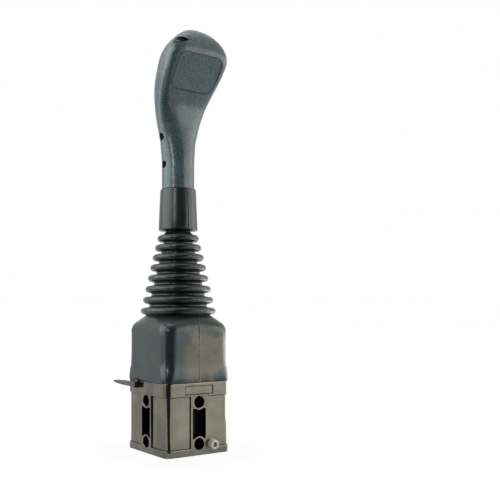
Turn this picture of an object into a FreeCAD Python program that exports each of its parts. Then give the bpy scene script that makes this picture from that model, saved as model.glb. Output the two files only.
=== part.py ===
"""Two-axis cable control lever: a square cast base, a rubber boot and a shaped handle.

Row frame, millimetres: origin at the centre of the base's underside, +Z up,
-Y towards the operator, +Y away from the operator, +X to the operator's right.
Each physical piece is one solid, or one group of like fasteners, in its own file.
"""
import FreeCAD, Part
import math
import os

from FreeCAD import Vector

# Base casting
RIM_HALF = 34.0
RIM_CORNER = 6.5
BASE_HEIGHT = 63.5
RIM_HEIGHT = 6.5
BAND_HEIGHT = 12.0
PANEL_DEPTH = 1.2
WALL = 4.5
FLOOR_TOP = 14.4
COLUMN_HALF = 8.75
EDGE_ROUND = 0.7
NECK_DROP = 8.5
NECK_WALL = 3.0
SPIGOT_STEP = 4.8
SPIGOT_CORNER = 7.0
SPIGOT_HEIGHT = 6.0

# Side mounting holes and windows
HOLE_R = 4.8
LOWER_HOLE_Z = 10.0
UPPER_HOLE_DROP = 17.0
HOLE_RING = 1.9
BLIND_DEPTH = 11.0
INNER_BOSS = 3.0
HOLE_CHAMFER = 0.6
WINDOW_HALF = 6.9
WINDOW_OVERLAP = 1.2

# Name plate recess, left blank
PLATE_HALF = 14.5
PLATE_DROP = 10.1
PLATE_HEIGHT = 7.2
PLATE_DEPTH = 0.6

# Cable inlets in the floor and the screws that clamp the conduits
ARM_RADIUS = 13.5
CONDUIT_R = 4.8
CLAMP_Z = 8.8
CLAMP_PAD_END = 21.2
CLAMP_PAD_TOP = 14.8
CLAMP_TIP_GAP = 0.3

# Round sleeve that keeps dirt from the cable ends
SLEEVE_GAP = 0.3
SLEEVE_WALL = 1.0

# Socket cap screws, M5
M5_R = 2.5
M5_HEAD_R = 4.25
M5_HEAD = 5.0
M5_SOCKET = 4.0
M5_SOCKET_DEPTH = 2.6
WASHER_R = 4.6
WASHER = 0.8

# Pivot: both tilting axes cross at this height
PIVOT_RISE = 28.5
PIN_R = 3.0
BUSH_WALL = 1.0
BUSH_FLANGE = 0.5
BUSH_FLANGE_R = 5.2
RUNNING_GAP = 0.05
SIDE_GAP = 0.15

# Pivot frame on the base
FRAME_STEP = 0.4
FRAME_CORNER = 6.6
FRAME_PLATE = 3.0
FRAME_OPENING_R = 23.5
FRAME_SCREW_INSET = 5.8
FRAME_POST_R = 5.2
FRAME_SCREW_LENGTH = 20.0
EAR = 3.5
EAR_HALF = 7.0

# Gimbal ring
RING_BAR_X = 5.0
RING_BAR_Y = 6.0
RING_INNER_X = 21.5
RING_INNER_Y = 17.8
RING_HALF_HEIGHT = 6.0
RING_CORNER = 3.0

# Hub, studs and rod ends for the two cables
HUB_BEAM_HALF = 6.5
HUB_BOSS_R = 7.5
HUB_HEAD_R = 10.0
HUB_HEAD_TOP = 12.0
HUB_DROP = 20.0
STUD_DROP = 15.0
STUD_R = 2.5
STUD_INNER = 3.2
STUD_SPACER_R = 3.15
CLIP = 0.6
CLIP_R = 3.2
BALL_HALF = 4.0
BALL_R = 5.0
ROD_END_R = 7.5
ROD_END_HALF = 2.7
ROD_END_SHANK_R = 4.0
ROD_END_LENGTH = 27.0
CABLE_THREAD_R = 2.1
CABLE_THREAD_DEPTH = 14.0
BALL_GAP = 0.05

# Lever rod and its nut
ROD_R = 6.0
ROD_DROP = 4.0
ROD_IN_GRIP = 11.8
NUT_FLATS = 19.0
NUT_HEIGHT = 6.0

# Rubber boot
BOOT_WALL = 2.2
BOOT_LIP_PROUD = 1.2
BOOT_WAIST_IN = 0.1
BOOT_SHOULDER_PROUD = 0.2
BOOT_CORNER = 12.0
BOOT_LIP_RISE = 7.0
BOOT_WAIST_RISE = 15.0
BOOT_WAIST_END = 30.0
BOOT_SHOULDER_RISE = 49.0
BOOT_GRIP = 1.4
BELLOWS_BASE_RISE = 58.6
BELLOWS_BASE_IN = 5.0
BELLOWS_FOOT = 1.8
RING_COUNT = 8
RING_FIRST_RISE = 62.2
RING_PITCH = 9.37
RING_FIRST_PROUD = 0.5
RING_LAST_R = 18.96
RING_HALF = 2.65
RING_DEPTH = 6.8
BELLOWS_WALL = 1.6
COLLAR_ABOVE_RINGS = 7.21
COLLAR_HEIGHT = 37.3
COLLAR_CREST_GAP = 0.4
COLLAR_BOTTOM_R = 17.75
COLLAR_TOP_R = 16.3
COLLAR_LIP = 0.7
COLLAR_BORE_R = 13.7

# Strap that ties the boot to the base
STRAP_WIDTH = 4.8
STRAP_THICK = 1.3
STRAP_HEAD = (4.6, 6.2, 5.6)
STRAP_HEAD_Y = -14.5
STRAP_NECK_HALF = 2.2
STRAP_NECK = 1.6
STRAP_LIFT = 0.2
STRAP_DROP = 3.8
STRAP_TAIL = 40.8
STRAP_TAPER = 19.3
STRAP_TIP_WIDTH = 2.3

# Handle, two half shells that meet in the plane x = 0
SPIGOT_R = 13.4
SPIGOT_LENGTH = 32.2
HANDLE_WALL = 4.5
WALL_BEHIND = 2.4
CAVITY_START = 31.8
CAVITY_ROOF = 6.3
# Height above the grip's lower end, half width, front y, rear y, y of the widest line,
# front and rear squareness
HANDLE_STATIONS = [
    (0.0, 15.3, 13.6, -13.6, 0.0, 2.0, 2.0),
    (19.8, 15.3, 13.6, -13.6, 0.0, 2.0, 2.0),
    (40.8, 17.2, 12.6, -12.8, -0.2, 2.0, 2.0),
    (56.8, 20.7, 11.9, -11.4, 0.2, 2.3, 2.3),
    (70.8, 23.9, 13.4, -9.6, 3.0, 3.0, 2.8),
    (83.8, 26.6, 20.4, -6.4, 9.4, 4.2, 3.6),
    (96.8, 29.1, 30.8, 1.4, 17.6, 5.0, 4.2),
    (109.8, 30.0, 39.8, 9.7, 24.2, 5.0, 4.4),
    (115.8, 28.4, 41.0, 13.5, 26.4, 4.5, 4.2),
    (121.8, 24.8, 40.2, 17.3, 28.2, 4.0, 3.8),
    (126.8, 20.0, 38.2, 20.5, 29.2, 3.5, 3.4),
    (130.8, 14.5, 35.2, 23.1, 29.0, 3.0, 3.0),
    (133.3, 9.3, 32.2, 24.9, 28.4, 2.6, 2.6),
    (134.6, 4.6, 29.6, 26.2, 27.8, 2.3, 2.3),
]
HANDLE_TOP = (27.6, 135.1)
SECTION_POINTS = 32
SECTION_STEP = 7.0

# Handle screws along X: y, height above the grip's lower end, and the x of the seat under the head
SCREW_PLACES = [(0.0, 21.2, 10.2), (0.0, 45.8, 12.9), (37.0, 119.3, 13.0)]
HANDLE_SCREW_R = 1.8
HANDLE_SCREW_HEAD_R = 3.1
HANDLE_SCREW_HEAD = 2.4
HANDLE_SCREW_REACH = 10.0
COUNTERBORE_R = 3.35
SCREW_BOSS_R = 4.5

# Threaded insert in the stem
INSERT_RISE = 8.0
INSERT_PAST_ROD = 2.0
INSERT_R = 9.5
INSERT_FLANGE_R = 11.0
INSERT_FLANGE_RISE = 20.0
INSERT_FLANGE = 6.0
ROD_HOLE_GAP = 0.2

# Blank pad on the front of the handle
PAD_AT = (30.1, 97.5)
PAD_TILT = 37.4
PAD_HALF_WIDTH = 21.8
PAD_HALF_HEIGHT = 16.2
PAD_CORNER = 7.0
PAD_THICK = 2.2
PAD_GAP = 0.3
PAD_FRAME = 1.0

# Egg-shaped label on the operator's side of the handle
LABEL_AT = (15.6, 117.7)
LABEL_TILT = 32.4
LABEL_HALF_WIDTH = 22.4
LABEL_UPPER = 18.4
LABEL_LOWER = 36.4
LABEL_PLATE = 1.6
LABEL_PROUD = 0.6
LABEL_GAP = 0.3
DOME_RIM = 0.8
DOME_CROWN = 1.1
DOME_STEPS = 4


def cylinder(radius, start, end):
    """Round bar between two points."""
    axis = Vector(*end) - Vector(*start)
    return Part.makeCylinder(radius, axis.Length, Vector(*start), axis)


def hexagon(flats, start, end):
    """Hexagonal bar between two points, measured across its flats."""
    axis = Vector(*end) - Vector(*start)
    radius = flats / math.sqrt(3)
    turn = FreeCAD.Rotation(Vector(0, 0, 1), axis)
    ring = [Vector(radius * math.cos(k * math.pi / 3), radius * math.sin(k * math.pi / 3), 0)
            for k in range(6)]
    corners = [Vector(*start) + turn.multVec(point) for point in ring]
    face = Part.Face(Part.makePolygon(corners + corners[:1]))
    return face.extrude(axis)


def box(low, high):
    """Block between two opposite corners."""
    size = [b - a for a, b in zip(low, high)]
    return Part.makeBox(size[0], size[1], size[2], Vector(*low))


def rounded_rectangle(half_x, half_y, corner, z=0.0):
    """Closed wire of a rectangle with round corners, centred on the Z axis."""
    edges = []
    flat_x = half_x - corner
    flat_y = half_y - corner
    for turn in range(4):
        angle = turn * math.pi / 2
        sign_x = 1 if turn in (0, 3) else -1
        sign_y = 1 if turn in (0, 1) else -1
        centre = Vector(sign_x * flat_x, sign_y * flat_y, z)
        points = [centre + Vector(corner * math.cos(angle + step * math.pi / 4),
                                  corner * math.sin(angle + step * math.pi / 4), 0)
                  for step in range(3)]
        edges.append((points, Part.Arc(*points).toShape()))
    outline = []
    for index, (points, arc) in enumerate(edges):
        following = edges[(index + 1) % 4][0]
        outline.append(arc)
        if (following[0] - points[2]).Length > 1e-6:
            outline.append(Part.LineSegment(points[2], following[0]).toShape())
    return Part.Wire(outline)


def rounded_block(half_x, half_y, corner, bottom, top):
    """Upright block with round vertical corners."""
    face = Part.Face(rounded_rectangle(half_x, half_y, corner, bottom))
    return face.extrude(Vector(0, 0, top - bottom))


def square_block(half, corner, bottom, top):
    """Upright square block with round vertical corners."""
    return rounded_block(half, half, corner, bottom, top)


def soft_edged_slab(half, corner, bottom, top, edge):
    """Square slab whose upper and lower outer edges are rounded too."""
    slab = square_block(half, corner, bottom, top)
    rims = [e for e in slab.Edges if abs(e.BoundBox.ZMax - e.BoundBox.ZMin) < 1e-6]
    return slab.makeFillet(edge, rims)


def fuse(shapes):
    """One clean solid from several that touch."""
    whole = shapes[0].multiFuse(shapes[1:])
    return whole.removeSplitter()


def cut(body, tools):
    """The body with every tool taken out of it."""
    return body.cut(tools[0] if len(tools) == 1 else tools[0].multiFuse(tools[1:]))


def about_z(shape, degrees):
    """A copy turned about the vertical axis."""
    copy = shape.copy()
    copy.rotate(Vector(0, 0, 0), Vector(0, 0, 1), degrees)
    return copy


def cap_screw(seat, direction, length):
    """M5 socket cap screw: the head stands on the seat, the shank runs the other way."""
    seat = Vector(*seat)
    out = Vector(*direction)
    head_end = seat + out * M5_HEAD
    head = Part.makeCylinder(M5_HEAD_R, M5_HEAD, seat, out)
    rim = [e for e in head.Edges if e.Closed and abs((e.CenterOfMass - head_end).Length) < 1e-3]
    head = head.makeFillet(0.5, rim)
    shank = Part.makeCylinder(M5_R, length, seat, out * -1)
    socket = hexagon(M5_SOCKET, tuple(head_end - out * M5_SOCKET_DEPTH), tuple(head_end + out))
    return head.fuse(shank).cut(socket).removeSplitter()


# Places that follow from the sizes above
UPPER_HOLE_Z = BASE_HEIGHT - UPPER_HOLE_DROP
BAND_BOTTOM = BASE_HEIGHT - BAND_HEIGHT
PLATE_BOTTOM = BASE_HEIGHT - PLATE_DROP
NECK_BOTTOM = BASE_HEIGHT - NECK_DROP
SPIGOT_HALF = RIM_HALF - SPIGOT_STEP
NECK_HALF = SPIGOT_HALF - NECK_WALL
WINDOW_TOP = UPPER_HOLE_Z - HOLE_R - HOLE_RING + WINDOW_OVERLAP
SPIGOT_TOP = BASE_HEIGHT + SPIGOT_HEIGHT
PIVOT_Z = BASE_HEIGHT + PIVOT_RISE
FRAME_HALF = SPIGOT_HALF - FRAME_STEP
FRAME_SCREW_AT = SPIGOT_HALF - FRAME_SCREW_INSET
BOOT_LIP_HALF = RIM_HALF + BOOT_LIP_PROUD
BOOT_WAIST_HALF = RIM_HALF - BOOT_WAIST_IN
BOOT_SHOULDER_HALF = RIM_HALF + BOOT_SHOULDER_PROUD
BOOT_SHOULDER_Z = BASE_HEIGHT + BOOT_SHOULDER_RISE
BELLOWS_BASE_Z = BASE_HEIGHT + BELLOWS_BASE_RISE
BELLOWS_BASE_R = RIM_HALF - BELLOWS_BASE_IN
RING_FIRST_Z = BASE_HEIGHT + RING_FIRST_RISE
RING_FIRST_R = RIM_HALF + RING_FIRST_PROUD
RING_STEP = (RING_FIRST_R - RING_LAST_R) / (RING_COUNT - 1)
RING_TOP_Z = RING_FIRST_Z + RING_PITCH * (RING_COUNT - 1)
COLLAR_BOTTOM = RING_TOP_Z + COLLAR_ABOVE_RINGS
COLLAR_TOP = COLLAR_BOTTOM + COLLAR_HEIGHT
GRIP_BOTTOM = COLLAR_TOP + COLLAR_CREST_GAP
CAVITY_END = HANDLE_TOP[1] - CAVITY_ROOF
HANDLE_BOTTOM = GRIP_BOTTOM - SPIGOT_LENGTH
ROD_BOTTOM = PIVOT_Z - ROD_DROP
ROD_TOP = GRIP_BOTTOM + ROD_IN_GRIP
INSERT_BOTTOM = HANDLE_BOTTOM + INSERT_RISE
INSERT_TOP = ROD_TOP + INSERT_PAST_ROD
INSERT_FLANGE_BOTTOM = HANDLE_BOTTOM + INSERT_FLANGE_RISE
HANDLE_SCREWS = [(y, GRIP_BOTTOM + rise, seat) for y, rise, seat in SCREW_PLACES]
PAD_CENTRE = (PAD_AT[0], GRIP_BOTTOM + PAD_AT[1])
LABEL_WIDEST = (LABEL_AT[0], GRIP_BOTTOM + LABEL_AT[1])
STRAP_LOW = BASE_HEIGHT + STRAP_LIFT
STRAP_Z = BASE_HEIGHT - STRAP_DROP
FRAME_TOP = SPIGOT_TOP + FRAME_PLATE
RING_OUTER_X = RING_INNER_X + RING_BAR_X
RING_OUTER_Y = RING_INNER_Y + RING_BAR_Y
EAR_INNER = RING_OUTER_X + BUSH_FLANGE + SIDE_GAP
EAR_OUTER = EAR_INNER + EAR
BUSH_R = PIN_R + BUSH_WALL
HUB_HALF_Y = RING_INNER_Y - BUSH_FLANGE - SIDE_GAP
STUD_Z = PIVOT_Z - STUD_DROP
BALL_INNER = ARM_RADIUS - BALL_HALF
BALL_OUTER = ARM_RADIUS + BALL_HALF
ROD_END_BOTTOM = STUD_Z - ROD_END_LENGTH
SCREW_CORNERS = [(sx * FRAME_SCREW_AT, sy * FRAME_SCREW_AT) for sx in (1, -1) for sy in (1, -1)]


def base_housing():
    """Cast square housing: rims, recessed panels, flush columns, windows and cable floor."""
    panel_half = RIM_HALF - PANEL_DEPTH
    inner_half = RIM_HALF - WALL
    inner_corner = RIM_CORNER - WALL
    ring_r = HOLE_R + HOLE_RING
    solids = [
        soft_edged_slab(RIM_HALF, RIM_CORNER, 0, RIM_HEIGHT, EDGE_ROUND),
        square_block(panel_half, RIM_CORNER - PANEL_DEPTH, EDGE_ROUND, BASE_HEIGHT - EDGE_ROUND),
        soft_edged_slab(RIM_HALF, RIM_CORNER, BAND_BOTTOM, BASE_HEIGHT, EDGE_ROUND),
        square_block(SPIGOT_HALF, SPIGOT_CORNER, BASE_HEIGHT - EDGE_ROUND, SPIGOT_TOP),
    ]
    column = box((-COLUMN_HALF, inner_half - 1, EDGE_ROUND + 0.5),
                 (COLUMN_HALF, RIM_HALF, BASE_HEIGHT - EDGE_ROUND - 0.5))
    pad = box((-CLAMP_PAD_END, inner_half, RIM_HEIGHT - EDGE_ROUND),
              (-COLUMN_HALF + 1, RIM_HALF, CLAMP_PAD_TOP))
    solids += [about_z(column, 90 * k) for k in range(4)]
    solids += [pad, pad.mirror(Vector(0, 0, 0), Vector(1, 1, 0))]
    body = fuse(solids)
    cavity = [
        square_block(inner_half, inner_corner, FLOOR_TOP, NECK_BOTTOM),
        square_block(NECK_HALF, inner_corner, NECK_BOTTOM - 1, SPIGOT_TOP + 1),
    ]
    body = cut(body, cavity)
    posts = [cylinder(FRAME_POST_R, (x, y, BAND_BOTTOM - 4), (x, y, SPIGOT_TOP))
             for x, y in SCREW_CORNERS]
    boss = cylinder(ring_r, (0, inner_half - INNER_BOSS, UPPER_HOLE_Z), (0, inner_half + 1, UPPER_HOLE_Z))
    body = fuse([body] + posts + [about_z(boss, 90 * k) for k in range(4)])
    window = box((-WINDOW_HALF, inner_half - 1, FLOOR_TOP), (WINDOW_HALF, RIM_HALF + 1, WINDOW_TOP))
    for height in (LOWER_HOLE_Z, UPPER_HOLE_Z):
        window = window.cut(cylinder(ring_r, (0, inner_half - 4, height), (0, RIM_HALF + 2, height)))
    upper = cylinder(HOLE_R, (0, inner_half - INNER_BOSS - 1, UPPER_HOLE_Z), (0, RIM_HALF + 1, UPPER_HOLE_Z))
    lower = cylinder(HOLE_R, (0, RIM_HALF - BLIND_DEPTH, LOWER_HOLE_Z), (0, RIM_HALF + 1, LOWER_HOLE_Z))
    tools = []
    for k in range(4):
        tools += [about_z(tool, 90 * k) for tool in (window, upper, lower)]
    for height in (LOWER_HOLE_Z, UPPER_HOLE_Z):
        cone = Part.makeCone(HOLE_R, HOLE_R + HOLE_CHAMFER, HOLE_CHAMFER,
                             Vector(0, RIM_HALF - HOLE_CHAMFER, height), Vector(0, 1, 0))
        tools += [about_z(cone, 90 * k) for k in range(4)]
    tools += [cylinder(CONDUIT_R, (x, y, -1), (x, y, FLOOR_TOP + 1))
              for x, y in ((-ARM_RADIUS, 0), (0, -ARM_RADIUS))]
    tools += [cylinder(M5_R, (-ARM_RADIUS, 0, CLAMP_Z), (-ARM_RADIUS, RIM_HALF + 1, CLAMP_Z)),
              cylinder(M5_R, (0, -ARM_RADIUS, CLAMP_Z), (-RIM_HALF - 1, -ARM_RADIUS, CLAMP_Z))]
    tools += [cylinder(M5_R, (x, y, FRAME_TOP + WASHER - FRAME_SCREW_LENGTH), (x, y, SPIGOT_TOP + 1))
              for x, y in SCREW_CORNERS]
    tools.append(box((-PLATE_HALF, RIM_HALF - PLATE_DEPTH, PLATE_BOTTOM),
                     (PLATE_HALF, RIM_HALF + 1, PLATE_BOTTOM + PLATE_HEIGHT)))
    return cut(body, tools)


def dust_sleeve():
    """Round sleeve on the floor, behind the windows and the upper holes."""
    radius = RIM_HALF - WALL - INNER_BOSS - SLEEVE_GAP
    outside = cylinder(radius, (0, 0, FLOOR_TOP), (0, 0, NECK_BOTTOM - SLEEVE_GAP))
    sleeve = outside.cut(cylinder(radius - SLEEVE_WALL, (0, 0, 0), (0, 0, NECK_BOTTOM + 1)))
    notch = HOLE_R + SLEEVE_GAP
    for x, y in ((RIM_HALF, 0), (0, RIM_HALF)):
        sleeve = sleeve.cut(cylinder(notch, (-x, -y, LOWER_HOLE_Z), (x, y, LOWER_HOLE_Z)))
    return sleeve


def conduit_clamp_screws():
    """Two long screws whose tips clamp the cable conduits in the floor."""
    length = RIM_HALF - CONDUIT_R - CLAMP_TIP_GAP
    return [cap_screw((-ARM_RADIUS, RIM_HALF, CLAMP_Z), (0, 1, 0), length),
            cap_screw((-RIM_HALF, -ARM_RADIUS, CLAMP_Z), (-1, 0, 0), length)]


def pivot_frame():
    """Plate on the base with two ears that carry the front-to-back tilting axis."""
    plate = square_block(FRAME_HALF, FRAME_CORNER, SPIGOT_TOP, FRAME_TOP)
    ears = []
    for side in (1, -1):
        low = min(side * EAR_INNER, side * EAR_OUTER)
        block = box((low, -EAR_HALF, SPIGOT_TOP), (low + EAR, EAR_HALF, PIVOT_Z))
        crown = cylinder(EAR_HALF, (low, 0, PIVOT_Z), (low + EAR, 0, PIVOT_Z))
        ears += [block, crown]
    body = fuse([plate] + ears)
    tools = [cylinder(FRAME_OPENING_R, (0, 0, SPIGOT_TOP - 1), (0, 0, FRAME_TOP + 1)),
             cylinder(PIN_R, (-EAR_OUTER - 1, 0, PIVOT_Z), (EAR_OUTER + 1, 0, PIVOT_Z))]
    tools += [cylinder(M5_R, (x, y, SPIGOT_TOP - 1), (x, y, FRAME_TOP + 1)) for x, y in SCREW_CORNERS]
    return cut(body, tools)


def frame_washers():
    """Plain washers under the four frame screws."""
    return [cylinder(WASHER_R, (x, y, FRAME_TOP), (x, y, FRAME_TOP + WASHER)).cut(
        cylinder(M5_R, (x, y, FRAME_TOP - 1), (x, y, FRAME_TOP + WASHER + 1))) for x, y in SCREW_CORNERS]


def frame_screws():
    """Four screws that hold the pivot frame on the base's corner posts."""
    return [cap_screw((x, y, FRAME_TOP + WASHER), (0, 0, 1), FRAME_SCREW_LENGTH)
            for x, y in SCREW_CORNERS]


def pitch_pins():
    """Two pins pressed into the ears."""
    return [cylinder(PIN_R, (side * (RING_INNER_X + 0.5), 0, PIVOT_Z), (side * EAR_OUTER, 0, PIVOT_Z))
            for side in (1, -1)]


def flanged_bush(inner, outer, direction):
    """Bush from the inner to the outer radius along an axis, with its flange at the outer end."""
    axis = Vector(*direction)
    start = Vector(0, 0, PIVOT_Z) + axis * inner
    body = Part.makeCylinder(BUSH_R, outer - inner, start, axis)
    flange = Part.makeCylinder(BUSH_FLANGE_R, BUSH_FLANGE, Vector(0, 0, PIVOT_Z) + axis * outer, axis)
    bore = Part.makeCylinder(PIN_R + RUNNING_GAP, outer, start - axis, axis)
    return body.fuse(flange).cut(bore).removeSplitter()


def pitch_bushes():
    """Two flanged bushes in the gimbal ring's side bars."""
    return [flanged_bush(RING_INNER_X, RING_OUTER_X, (side, 0, 0)) for side in (1, -1)]


def gimbal_ring():
    """Square ring between the frame and the hub."""
    low = PIVOT_Z - RING_HALF_HEIGHT
    high = PIVOT_Z + RING_HALF_HEIGHT
    body = rounded_block(RING_OUTER_X, RING_OUTER_Y, RING_CORNER + RING_BAR_X, low, high)
    inside = rounded_block(RING_INNER_X, RING_INNER_Y, RING_CORNER, low - 1, high + 1)
    pitch_hole = cylinder(BUSH_R, (-RING_OUTER_X - 1, 0, PIVOT_Z), (RING_OUTER_X + 1, 0, PIVOT_Z))
    roll_hole = cylinder(PIN_R, (0, -RING_OUTER_Y - 1, PIVOT_Z), (0, RING_OUTER_Y + 1, PIVOT_Z))
    return cut(body, [inside, pitch_hole, roll_hole])


def roll_pins():
    """Two pins pressed into the gimbal ring, reaching into the hub's bushes."""
    inner = HUB_BOSS_R + 3.5
    return [cylinder(PIN_R, (0, side * inner, PIVOT_Z), (0, side * RING_OUTER_Y, PIVOT_Z))
            for side in (1, -1)]


def roll_bushes():
    """Two flanged bushes in the hub's beam."""
    return [flanged_bush(HUB_BOSS_R + 3, HUB_HALF_Y, (0, side, 0)) for side in (1, -1)]


def hub():
    """Hub: cross beam on the roll pins, threaded head for the lever rod, boss for the studs."""
    beam = box((-HUB_BEAM_HALF, -HUB_HALF_Y, PIVOT_Z - RING_HALF_HEIGHT),
               (HUB_BEAM_HALF, HUB_HALF_Y, PIVOT_Z + RING_HALF_HEIGHT))
    head = cylinder(HUB_HEAD_R, (0, 0, PIVOT_Z - RING_HALF_HEIGHT), (0, 0, PIVOT_Z + HUB_HEAD_TOP))
    boss = cylinder(HUB_BOSS_R, (0, 0, PIVOT_Z - HUB_DROP), (0, 0, PIVOT_Z))
    body = fuse([beam, head, boss])
    tools = [cylinder(ROD_R, (0, 0, ROD_BOTTOM), (0, 0, PIVOT_Z + HUB_HEAD_TOP + 1))]
    for side in (1, -1):
        tools.append(cylinder(BUSH_R, (0, side * (HUB_BOSS_R + 3), PIVOT_Z),
                              (0, side * (HUB_HALF_Y + 1), PIVOT_Z)))
    tools += [cylinder(STUD_R, (-STUD_INNER, 0, STUD_Z), (-HUB_BOSS_R - 1, 0, STUD_Z)),
              cylinder(STUD_R, (0, -STUD_INNER, STUD_Z), (0, -HUB_BOSS_R - 1, STUD_Z))]
    return cut(body, tools)


def lever_rod():
    """Steel rod from the hub up into the handle."""
    rod = cylinder(ROD_R, (0, 0, ROD_BOTTOM), (0, 0, ROD_TOP))
    return rod.makeChamfer(0.8, [e for e in rod.Edges if e.Closed and e.Length < 2 * math.pi * ROD_R + 1])


def rod_jam_nut():
    """Nut that locks the rod in the hub."""
    bottom = PIVOT_Z + HUB_HEAD_TOP
    nut = hexagon(NUT_FLATS, (0, 0, bottom), (0, 0, bottom + NUT_HEIGHT))
    trim = Part.makeCone(NUT_FLATS / 2 + 4.0, NUT_FLATS / 2, 4.0, Vector(0, 0, bottom + NUT_HEIGHT - 3.6))
    below = cylinder(NUT_FLATS, (0, 0, bottom - 1), (0, 0, bottom + NUT_HEIGHT - 3.5))
    nut = nut.common(trim.fuse(below))
    return nut.cut(cylinder(ROD_R, (0, 0, bottom - 1), (0, 0, bottom + NUT_HEIGHT + 1)))


def along(direction, near, far, radius):
    """Round bar along a level direction at the height of the studs."""
    axis = Vector(*direction)
    return Part.makeCylinder(radius, far - near, Vector(0, 0, STUD_Z) + axis * near, axis)


def cable_stud(direction):
    """Stud screwed into the hub's boss; the rod end's ball turns on it."""
    return along(direction, STUD_INNER, BALL_OUTER + CLIP + 0.5, STUD_R)


def stud_spacer(direction):
    """Spacer between the boss and the ball, with a hollow inner end that fits the boss."""
    sleeve = along(direction, HUB_BOSS_R - 1, BALL_INNER - SIDE_GAP, STUD_SPACER_R)
    sleeve = sleeve.cut(along(direction, 0, BALL_OUTER, STUD_R))
    return sleeve.cut(cylinder(HUB_BOSS_R, (0, 0, STUD_Z - 9), (0, 0, STUD_Z + 9)))


def stud_clip(direction):
    """Retaining clip on the stud outside the ball."""
    disc = along(direction, BALL_OUTER + SIDE_GAP, BALL_OUTER + SIDE_GAP + CLIP, CLIP_R)
    return disc.cut(along(direction, 0, BALL_OUTER + 5, STUD_R))


def rod_end_ball(direction):
    """Inner ball of the rod end, bored for the stud."""
    axis = Vector(*direction)
    centre = Vector(0, 0, STUD_Z) + axis * ARM_RADIUS
    ball = Part.makeSphere(BALL_R, centre)
    slab = along(direction, BALL_INNER, BALL_OUTER, BALL_R + 1)
    return ball.common(slab).cut(along(direction, 0, BALL_OUTER + 5, STUD_R + RUNNING_GAP))


def rod_end(direction):
    """Rod end body: a ring around the ball and a threaded shank that points down."""
    axis = Vector(*direction)
    centre = Vector(0, 0, STUD_Z) + axis * ARM_RADIUS
    ring = along(direction, ARM_RADIUS - ROD_END_HALF, ARM_RADIUS + ROD_END_HALF, ROD_END_R)
    ring = ring.makeChamfer(0.6, [e for e in ring.Edges if e.Closed])
    shank = Part.makeCylinder(ROD_END_SHANK_R, ROD_END_LENGTH - BALL_R - 1,
                              Vector(centre.x, centre.y, ROD_END_BOTTOM))
    body = fuse([ring, shank.common(box((-40, -40, 0), (40, 40, STUD_Z - BALL_R)))])
    thread = Part.makeCylinder(CABLE_THREAD_R, CABLE_THREAD_DEPTH,
                               Vector(centre.x, centre.y, ROD_END_BOTTOM))
    return cut(body, [Part.makeSphere(BALL_R + BALL_GAP, centre), thread])


def bellows_profile():
    """Outline of the boot's round part in the XZ plane: rings, grooves and collar."""
    rings = [(RING_FIRST_R - RING_STEP * k, RING_FIRST_Z + RING_PITCH * k) for k in range(RING_COUNT)]
    groove = RING_PITCH / 2 - RING_HALF

    def point(radius, height):
        return Vector(radius, 0, height)

    def wall(offset):
        """Edges of one face of the wall, from the shoulder to the top of the last ring."""
        rim = RING_HALF - offset
        dip = groove + offset
        start = point(BELLOWS_BASE_R - (BELLOWS_FOOT if offset else 0), BELLOWS_BASE_Z)
        last = start + Vector(0, 0, offset)
        edges = [Part.LineSegment(start, last).toShape()] if offset else []
        for index, (radius, height) in enumerate(rings):
            centre = radius - RING_HALF
            low = point(centre, height - rim)
            edges.append(Part.LineSegment(last, low).toShape())
            edges.append(Part.Arc(low, point(centre + rim, height), point(centre, height + rim)).toShape())
            following = radius - RING_STEP if index < RING_COUNT - 1 else radius
            mid_r = (radius + following) / 2 - RING_DEPTH + groove
            mid_z = height + RING_PITCH / 2
            edges.append(Part.LineSegment(point(centre, height + rim), point(mid_r, mid_z - dip)).toShape())
            if index < RING_COUNT - 1:
                edges.append(Part.Arc(point(mid_r, mid_z - dip), point(mid_r - dip, mid_z),
                                      point(mid_r, mid_z + dip)).toShape())
                last = point(mid_r, mid_z + dip)
            else:
                last = point(mid_r, mid_z - dip)
        return edges, last

    outer, outer_end = wall(0)
    inner, inner_end = wall(BELLOWS_WALL)
    neck = outer_end.x - groove
    steps = [outer_end, point(neck, outer_end.z + groove), point(neck, COLLAR_BOTTOM - 1.0),
             point(COLLAR_BOTTOM_R - COLLAR_LIP, COLLAR_BOTTOM),
             point(COLLAR_BOTTOM_R, COLLAR_BOTTOM + COLLAR_LIP),
             point(COLLAR_TOP_R, COLLAR_TOP - COLLAR_LIP),
             point(COLLAR_TOP_R - COLLAR_LIP, COLLAR_TOP),
             point(COLLAR_BORE_R + COLLAR_LIP, COLLAR_TOP),
             point(COLLAR_BORE_R, COLLAR_TOP - COLLAR_LIP),
             point(COLLAR_BORE_R, HANDLE_BOTTOM - 0.5),
             point(neck - BELLOWS_WALL, HANDLE_BOTTOM - 2.5),
             point(neck - BELLOWS_WALL, inner_end.z + groove + BELLOWS_WALL), inner_end]
    top = [Part.LineSegment(a, b).toShape() for a, b in zip(steps, steps[1:])]
    foot = Part.LineSegment(point(BELLOWS_BASE_R - BELLOWS_FOOT, BELLOWS_BASE_Z),
                            point(BELLOWS_BASE_R, BELLOWS_BASE_Z)).toShape()
    return Part.Wire(Part.__sortEdges__(outer + top + inner + [foot]))


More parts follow.
